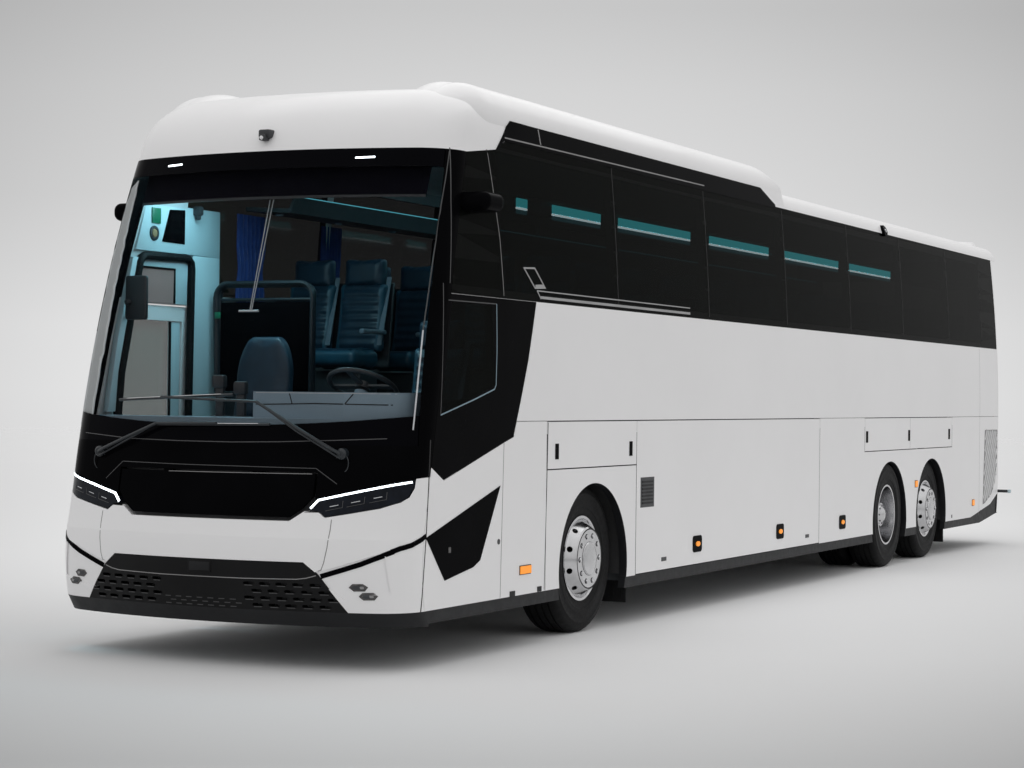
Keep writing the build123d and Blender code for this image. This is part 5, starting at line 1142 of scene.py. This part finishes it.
entry.use(dash_dark).box((TRIM_FACE - 0.01, at(1.59), 2.875), (TRIM_FACE + 0.06, at(1.64), 2.94), 0.014)
entry.box((TRIM_FACE + 0.01, at(1.60), 2.845), (TRIM_FACE + 0.045, at(1.63), 2.885), 0.010)
entry.done(slot="rack_plastic")

# trim on the far pillar, behind the windscreen's edge
pillar = Form("pillar_trim", trim)
screen_inside = Skin((0, -1, 0), ["windscreen"], 1.5, 2.75)
pillar.wrap([(-x + 0.085, station - 0.045, z) for x, station, z in SCREEN_EDGE[1:]], 0.190, screen_inside, -0.014,
            -0.006, 0.06)
pillar.done(slot="rack_plastic")

door_trim = Form("entry_door_trim", trim_pale)
plate(door_trim, [(1.400, 0.95), (1.520, 0.95), (1.520, 2.135), (1.400, 2.135)], -1.232, -1.214, 0.003)
door_trim.use(rubber)
door_trim.tube([(-1.214, at(station), z) for station, z in ((1.402, 0.95), (1.402, 2.135))], 0.009, 8)
door_trim.done("entry_door", "rack_plastic")

# tall screen on the pillar, sun blind with its pull rods, and two card readers on the dash
cab = Form("cab_fittings", dash_dark, nose)
cab.box((-1.135, at(0.765), 2.125), (-0.965, at(0.80), 2.415), 0.016, 3)
cab.use(gloss_black).box((-1.122, at(0.795), 2.145), (-0.978, at(0.808), 2.395), 0.010)
cab.use(dash_dark).tube([(-1.05, at(0.79), 2.20), (-1.13, at(0.82), 2.17), (-1.19, at(0.86), 2.16)], 0.014, 10)
cab.turned([(0.0, 0.0), (0.0, 0.02), (0.02, 0.022), (0.034, 0.012), (0.036, 0.0)], (-1.10, at(0.765), 2.24),
           (0, -1, 0), 16)
for x, top in ((-0.345, 1.70), (-0.185, 1.66)):
    cab.box((x - 0.030, at(0.70), 1.492), (x + 0.030, at(0.735), top), 0.008)
    cab.box((x - 0.048, at(0.685), top - 0.02), (x + 0.042, at(0.74), top + 0.065), 0.014)
    cab.box((x - 0.050, at(0.68), 1.490), (x + 0.050, at(0.76), 1.505), 0.005)
cab.skin = Skin((0, -1, 0), ["dashboard"], 1.9, 2.75)
cab.use(seam_black)
DASH_SEAMS = ([(0.17, 1.582), (0.60, 1.592), (1.08, 1.588)], [(0.43, 1.590), (0.41, 1.652)],
              [(0.80, 1.592), (0.85, 1.652)])
for run in DASH_SEAMS:
    cab.strip(run, 0.007, 0.0012, 0.005, 0.04)
# silver line along the binnacle's top edge: painted highlight
cab.use(silver_and_highlight).strip([(0.17, 1.655), (1.10, 1.655)], 0.004, 0.0012, 0.005, 0.04)
cab.skin = nose
cab.use(blind_navy).laid([(-1.00, 2.885), (1.085, 2.885), (1.085, 3.14), (-1.00, 3.14)], -0.07, 0.004, 0.12)
cab.use(rail_black).laid([(-1.00, 2.872), (1.085, 2.872), (1.085, 2.888), (-1.00, 2.888)], -0.066, 0.014, 0.12)
cab.use(silver_and_highlight)
PULL_Y, PULL_TOP, PULL_LOW = at(0.75), 2.88, 2.175
for top_x, low_x in ((0.016, -0.140), (-0.010, -0.152)):
    cab.tube([(top_x, PULL_Y, PULL_TOP), (low_x, PULL_Y, PULL_LOW)], 0.0035, 6)
cab.tube([(-0.234, PULL_Y, PULL_LOW), (-0.087, PULL_Y, PULL_LOW)], 0.007, 8)
cab.done(slot="dash_plastic")

# flat frame and dark pane of the partition over the entry stairs
screen = Form("partition_frame", rail_black)
frame_path = [(-1.09, 1.66), (-1.105, 2.25), *arc((-1.01, 2.315), 0.095, 180, 90, 6),
              *arc((-0.42, 2.315), 0.095, 90, 0, 6), (-0.325, 2.25), (-0.33, 1.66)]
screen.tube([(x, at(1.806), z) for x, z in frame_path], 0.024, 10, flat=0.8)
screen.use(gloss_black).box((-1.075, at(1.812), 1.664), (-0.345, at(1.824), 2.285), 0.004)
screen.use(sign_green).box((-1.10, at(1.775), 2.17), (-1.055, at(1.785), 2.215), 0.003)
screen.done(slot="rack_plastic")

# two gathered curtains on the entry side, hung under the rack
CURTAIN_X, CURTAIN_TOP, CURTAIN_LOW = -1.172, 2.935, 2.300
PLEATS, PLEAT_DEPTH, ACROSS, DROPS = 7, 0.015, 84, 14
for number, (start, end) in enumerate(((2.15, 2.54), (3.32, 3.63)), 1):
    curtain = Form("curtain_%d" % number, curtain_blue)
    points = []
    for i in range(DROPS + 1):
        drop = i / DROPS
        waist = 1.0 - 0.16 * math.exp(-((drop - 0.62) / 0.16) ** 2)
        for k in range(ACROSS + 1):
            share = k / ACROSS
            station = (start + end) / 2 + (share - 0.5) * (end - start) * waist
            fold = PLEAT_DEPTH * math.sin(2 * math.pi * PLEATS * share + 0.35 * math.sin(5 * drop + number))
            z = CURTAIN_TOP - (CURTAIN_TOP - CURTAIN_LOW) * drop
            points.append(Vector((CURTAIN_X + fold, at(station), z)))
    curtain.shell(points, grid(ACROSS + 1, DROPS + 1))
    curtain.done(slot="seat_leather")


# ---- seats: pads blown up by a short cloth run ----
PRESSURE, CLOTH_FRAMES = 5.0, 20


def swollen(low, high, voxel, cap, lean=0.0):
    """Points and faces of a rounded pad between two corners, leaning back by a slope, swollen by cap at most."""
    block = bmesh.new()
    verts = [block.verts.new(point) for point in box_points(low, high)]
    for face in BOX_FACES:
        block.faces.new([verts[index] for index in face])
    thinnest = min(b - a for a, b in zip(low, high))
    bmesh.ops.bevel(block, geom=list(block.edges), offset=thinnest * 0.34, segments=3, profile=0.5, affect="EDGES")
    data = bpy.data.meshes.new("pad")
    block.to_mesh(data)
    block.free()
    pad = bpy.data.objects.new("pad", data)
    scene = bpy.context.scene
    scene.collection.objects.link(pad)
    remesh = pad.modifiers.new("remesh", "REMESH")
    remesh.mode = "VOXEL"
    remesh.voxel_size = voxel
    start = bpy.data.meshes.new_from_object(pad.evaluated_get(bpy.context.evaluated_depsgraph_get()))
    pad.modifiers.clear()
    pad.data = start
    rest = [vertex.co.copy() for vertex in start.vertices]
    ended = rest
    cloth = pad.modifiers.new("cloth", "CLOTH")
    cloth.settings.use_pressure = True
    cloth.settings.uniform_pressure_force = PRESSURE
    cloth.settings.effector_weights.gravity = 0.0
    cloth.point_cache.frame_start = 1
    cloth.point_cache.frame_end = CLOTH_FRAMES
    for moment in range(1, CLOTH_FRAMES + 1):
        scene.frame_set(moment)
    swelled = pad.evaluated_get(bpy.context.evaluated_depsgraph_get()).to_mesh()
    ended = [vertex.co.copy() for vertex in swelled.vertices]
    scene.frame_set(1)
    points = []
    for before, after in zip(rest, ended):
        step = after - before
        if step.length > cap:
            step = step.normalized() * cap
        point = before + step
        points.append((point.x, point.y + (point.z - low[2]) * lean, point.z))
    faces = [tuple(face.vertices) for face in start.polygons]
    bpy.data.objects.remove(pad)
    return points, faces


def seat_pads(voxel):
    """Cushion, back and headrest of one seat: y behind its front edge, z above the floor."""
    cushion = swollen((-0.198, 0.015, 0.405), (0.198, 0.415, 0.515), voxel, 0.014)
    back = swollen((-0.198, 0.395, 0.500), (0.198, 0.475, 1.020), voxel, 0.014, 0.16)
    head = swollen((-0.168, 0.478, 0.985), (0.168, 0.568, 1.195), voxel, 0.012, 0.04)
    return cushion, back, head


def crowned(x, z):
    """x drawn in where the top of the guide's seat back is round."""
    return x if z < CROWN_LOW else x * math.sqrt(max(0.02, 1.0 - ((z - CROWN_LOW) / CROWN_HIGH) ** 2))


FINE, COARSE = 0.013, 0.030     # grain of the pads near the windscreen and further back
CROWN_LOW, CROWN_HIGH = 0.80, 0.31
fine_pads = seat_pads(FINE)
tall, tall_faces = swollen((-0.225, 0.395, 0.500), (0.225, 0.475, 1.085), FINE, 0.014, 0.10)
guide_pads = (fine_pads[0], ([(crowned(x, z), y, z) for x, y, z in tall], tall_faces))
coarse_pads = seat_pads(COARSE)


BELT = 0.005                    # thickness of a belt


def add_seat(form, x, station, floor, pads):
    """One seat with its pads, piping and belt."""
    base = Vector((x, at(station), floor))
    for index, (points, faces) in enumerate(pads):
        form.use(leather_ribbed if index == 1 else leather)
        made = form.shell([base + Vector(point) for point in points], faces)[1]
        form.use(leather_light)
        for face in made:
            centre = face.calc_center_median() - base
            if abs(centre.x) > 0.150 and index < 2 or index == 0 and centre.y < 0.05:
                face.material_index = form.index
    sides = 6 if pads is fine_pads else 4
    form.use(leather_light)
    for edge in (-0.150, 0.150):
        form.tube([base + Vector((edge, 0.03, 0.522)), base + Vector((edge, 0.20, 0.532)),
                   base + Vector((edge, 0.38, 0.524))], 0.004, sides)
    belt = ((0.168, 0.545, 1.06), (0.205, 0.545, 1.06), (0.175, 0.385, 0.56), (0.215, 0.385, 0.56))
    form.use(belt_grey).shell(
        [base + Vector((x, y - thick, z)) for thick in (0.0, BELT) for x, y, z in belt],
        [(0, 1, 3, 2), (4, 6, 7, 5), (0, 4, 5, 1), (2, 3, 7, 6), (0, 2, 6, 4), (1, 5, 7, 3)])


def seat_frame(form, x0, x1, station, floor):
    """Shell behind the backs, arm rests and pedestal of a seat or a pair."""
    form.use(dash_dark)
    form.box((x0 + 0.03, at(station + 0.13), floor + 0.02), (x1 - 0.03, at(station + 0.39), floor + 0.37), 0.02)
    form.prism([(x0 + 0.012, at(station + y), floor + z)
                for y, z in ((0.500, 0.40), (0.520, 0.40), (0.602, 1.02), (0.580, 1.02))],
               (x1 - x0 - 0.024, 0, 0), 0.006, 1)
    form.use(belt_grey)
    for x in (x0 - 0.012, x1 - 0.028):
        form.box((x, at(station + 0.10), floor + 0.635), (x + 0.040, at(station + 0.44), floor + 0.670), 0.012)


DECK, PLATFORM = 1.450, 0.960   # floors of the saloon and of the cab
ROWS, FIRST_ROW, PITCH = 14, 2.35, 0.835
SEATS_X, PAIR_X = (0.516, 0.949), (0.30, 1.165)
ROW_LENGTH, STAIRS = 0.65, (8.31, 9.40)  # no seats on the right above the middle door's stairs
for side, word in SIDES:
    for part, rows, pads in (("front", range(2), fine_pads), ("rear", range(2, ROWS), coarse_pads)):
        form = Form("seats_%s_%s" % (part, word), leather)
        for row in rows:
            station = FIRST_ROW + row * PITCH
            if side < 0 and station + ROW_LENGTH > STAIRS[0] and station < STAIRS[1]:
                continue
            for x in SEATS_X:
                add_seat(form, side * x, station, DECK, pads)
            low, high = sorted(side * x for x in PAIR_X)
            seat_frame(form, low, high, station, DECK)
        form.done(slot="seat_leather", replaces=("seats",) if part == "front" and side > 0 else ())
crew = Form("crew_seats", leather)
add_seat(crew, 0.620, 1.395, PLATFORM, fine_pads)
seat_frame(crew, 0.405, 0.835, 1.395, PLATFORM)
for points, faces in guide_pads:
    crew.use(leather).shell([Vector((-0.470, at(0.980), PLATFORM)) + Vector(p) for p in points], faces)
crew.use(dash_dark).box((-0.655, at(1.11), PLATFORM + 0.02), (-0.285, at(1.37), PLATFORM + 0.37), 0.02)
crew.done(slot="seat_leather")
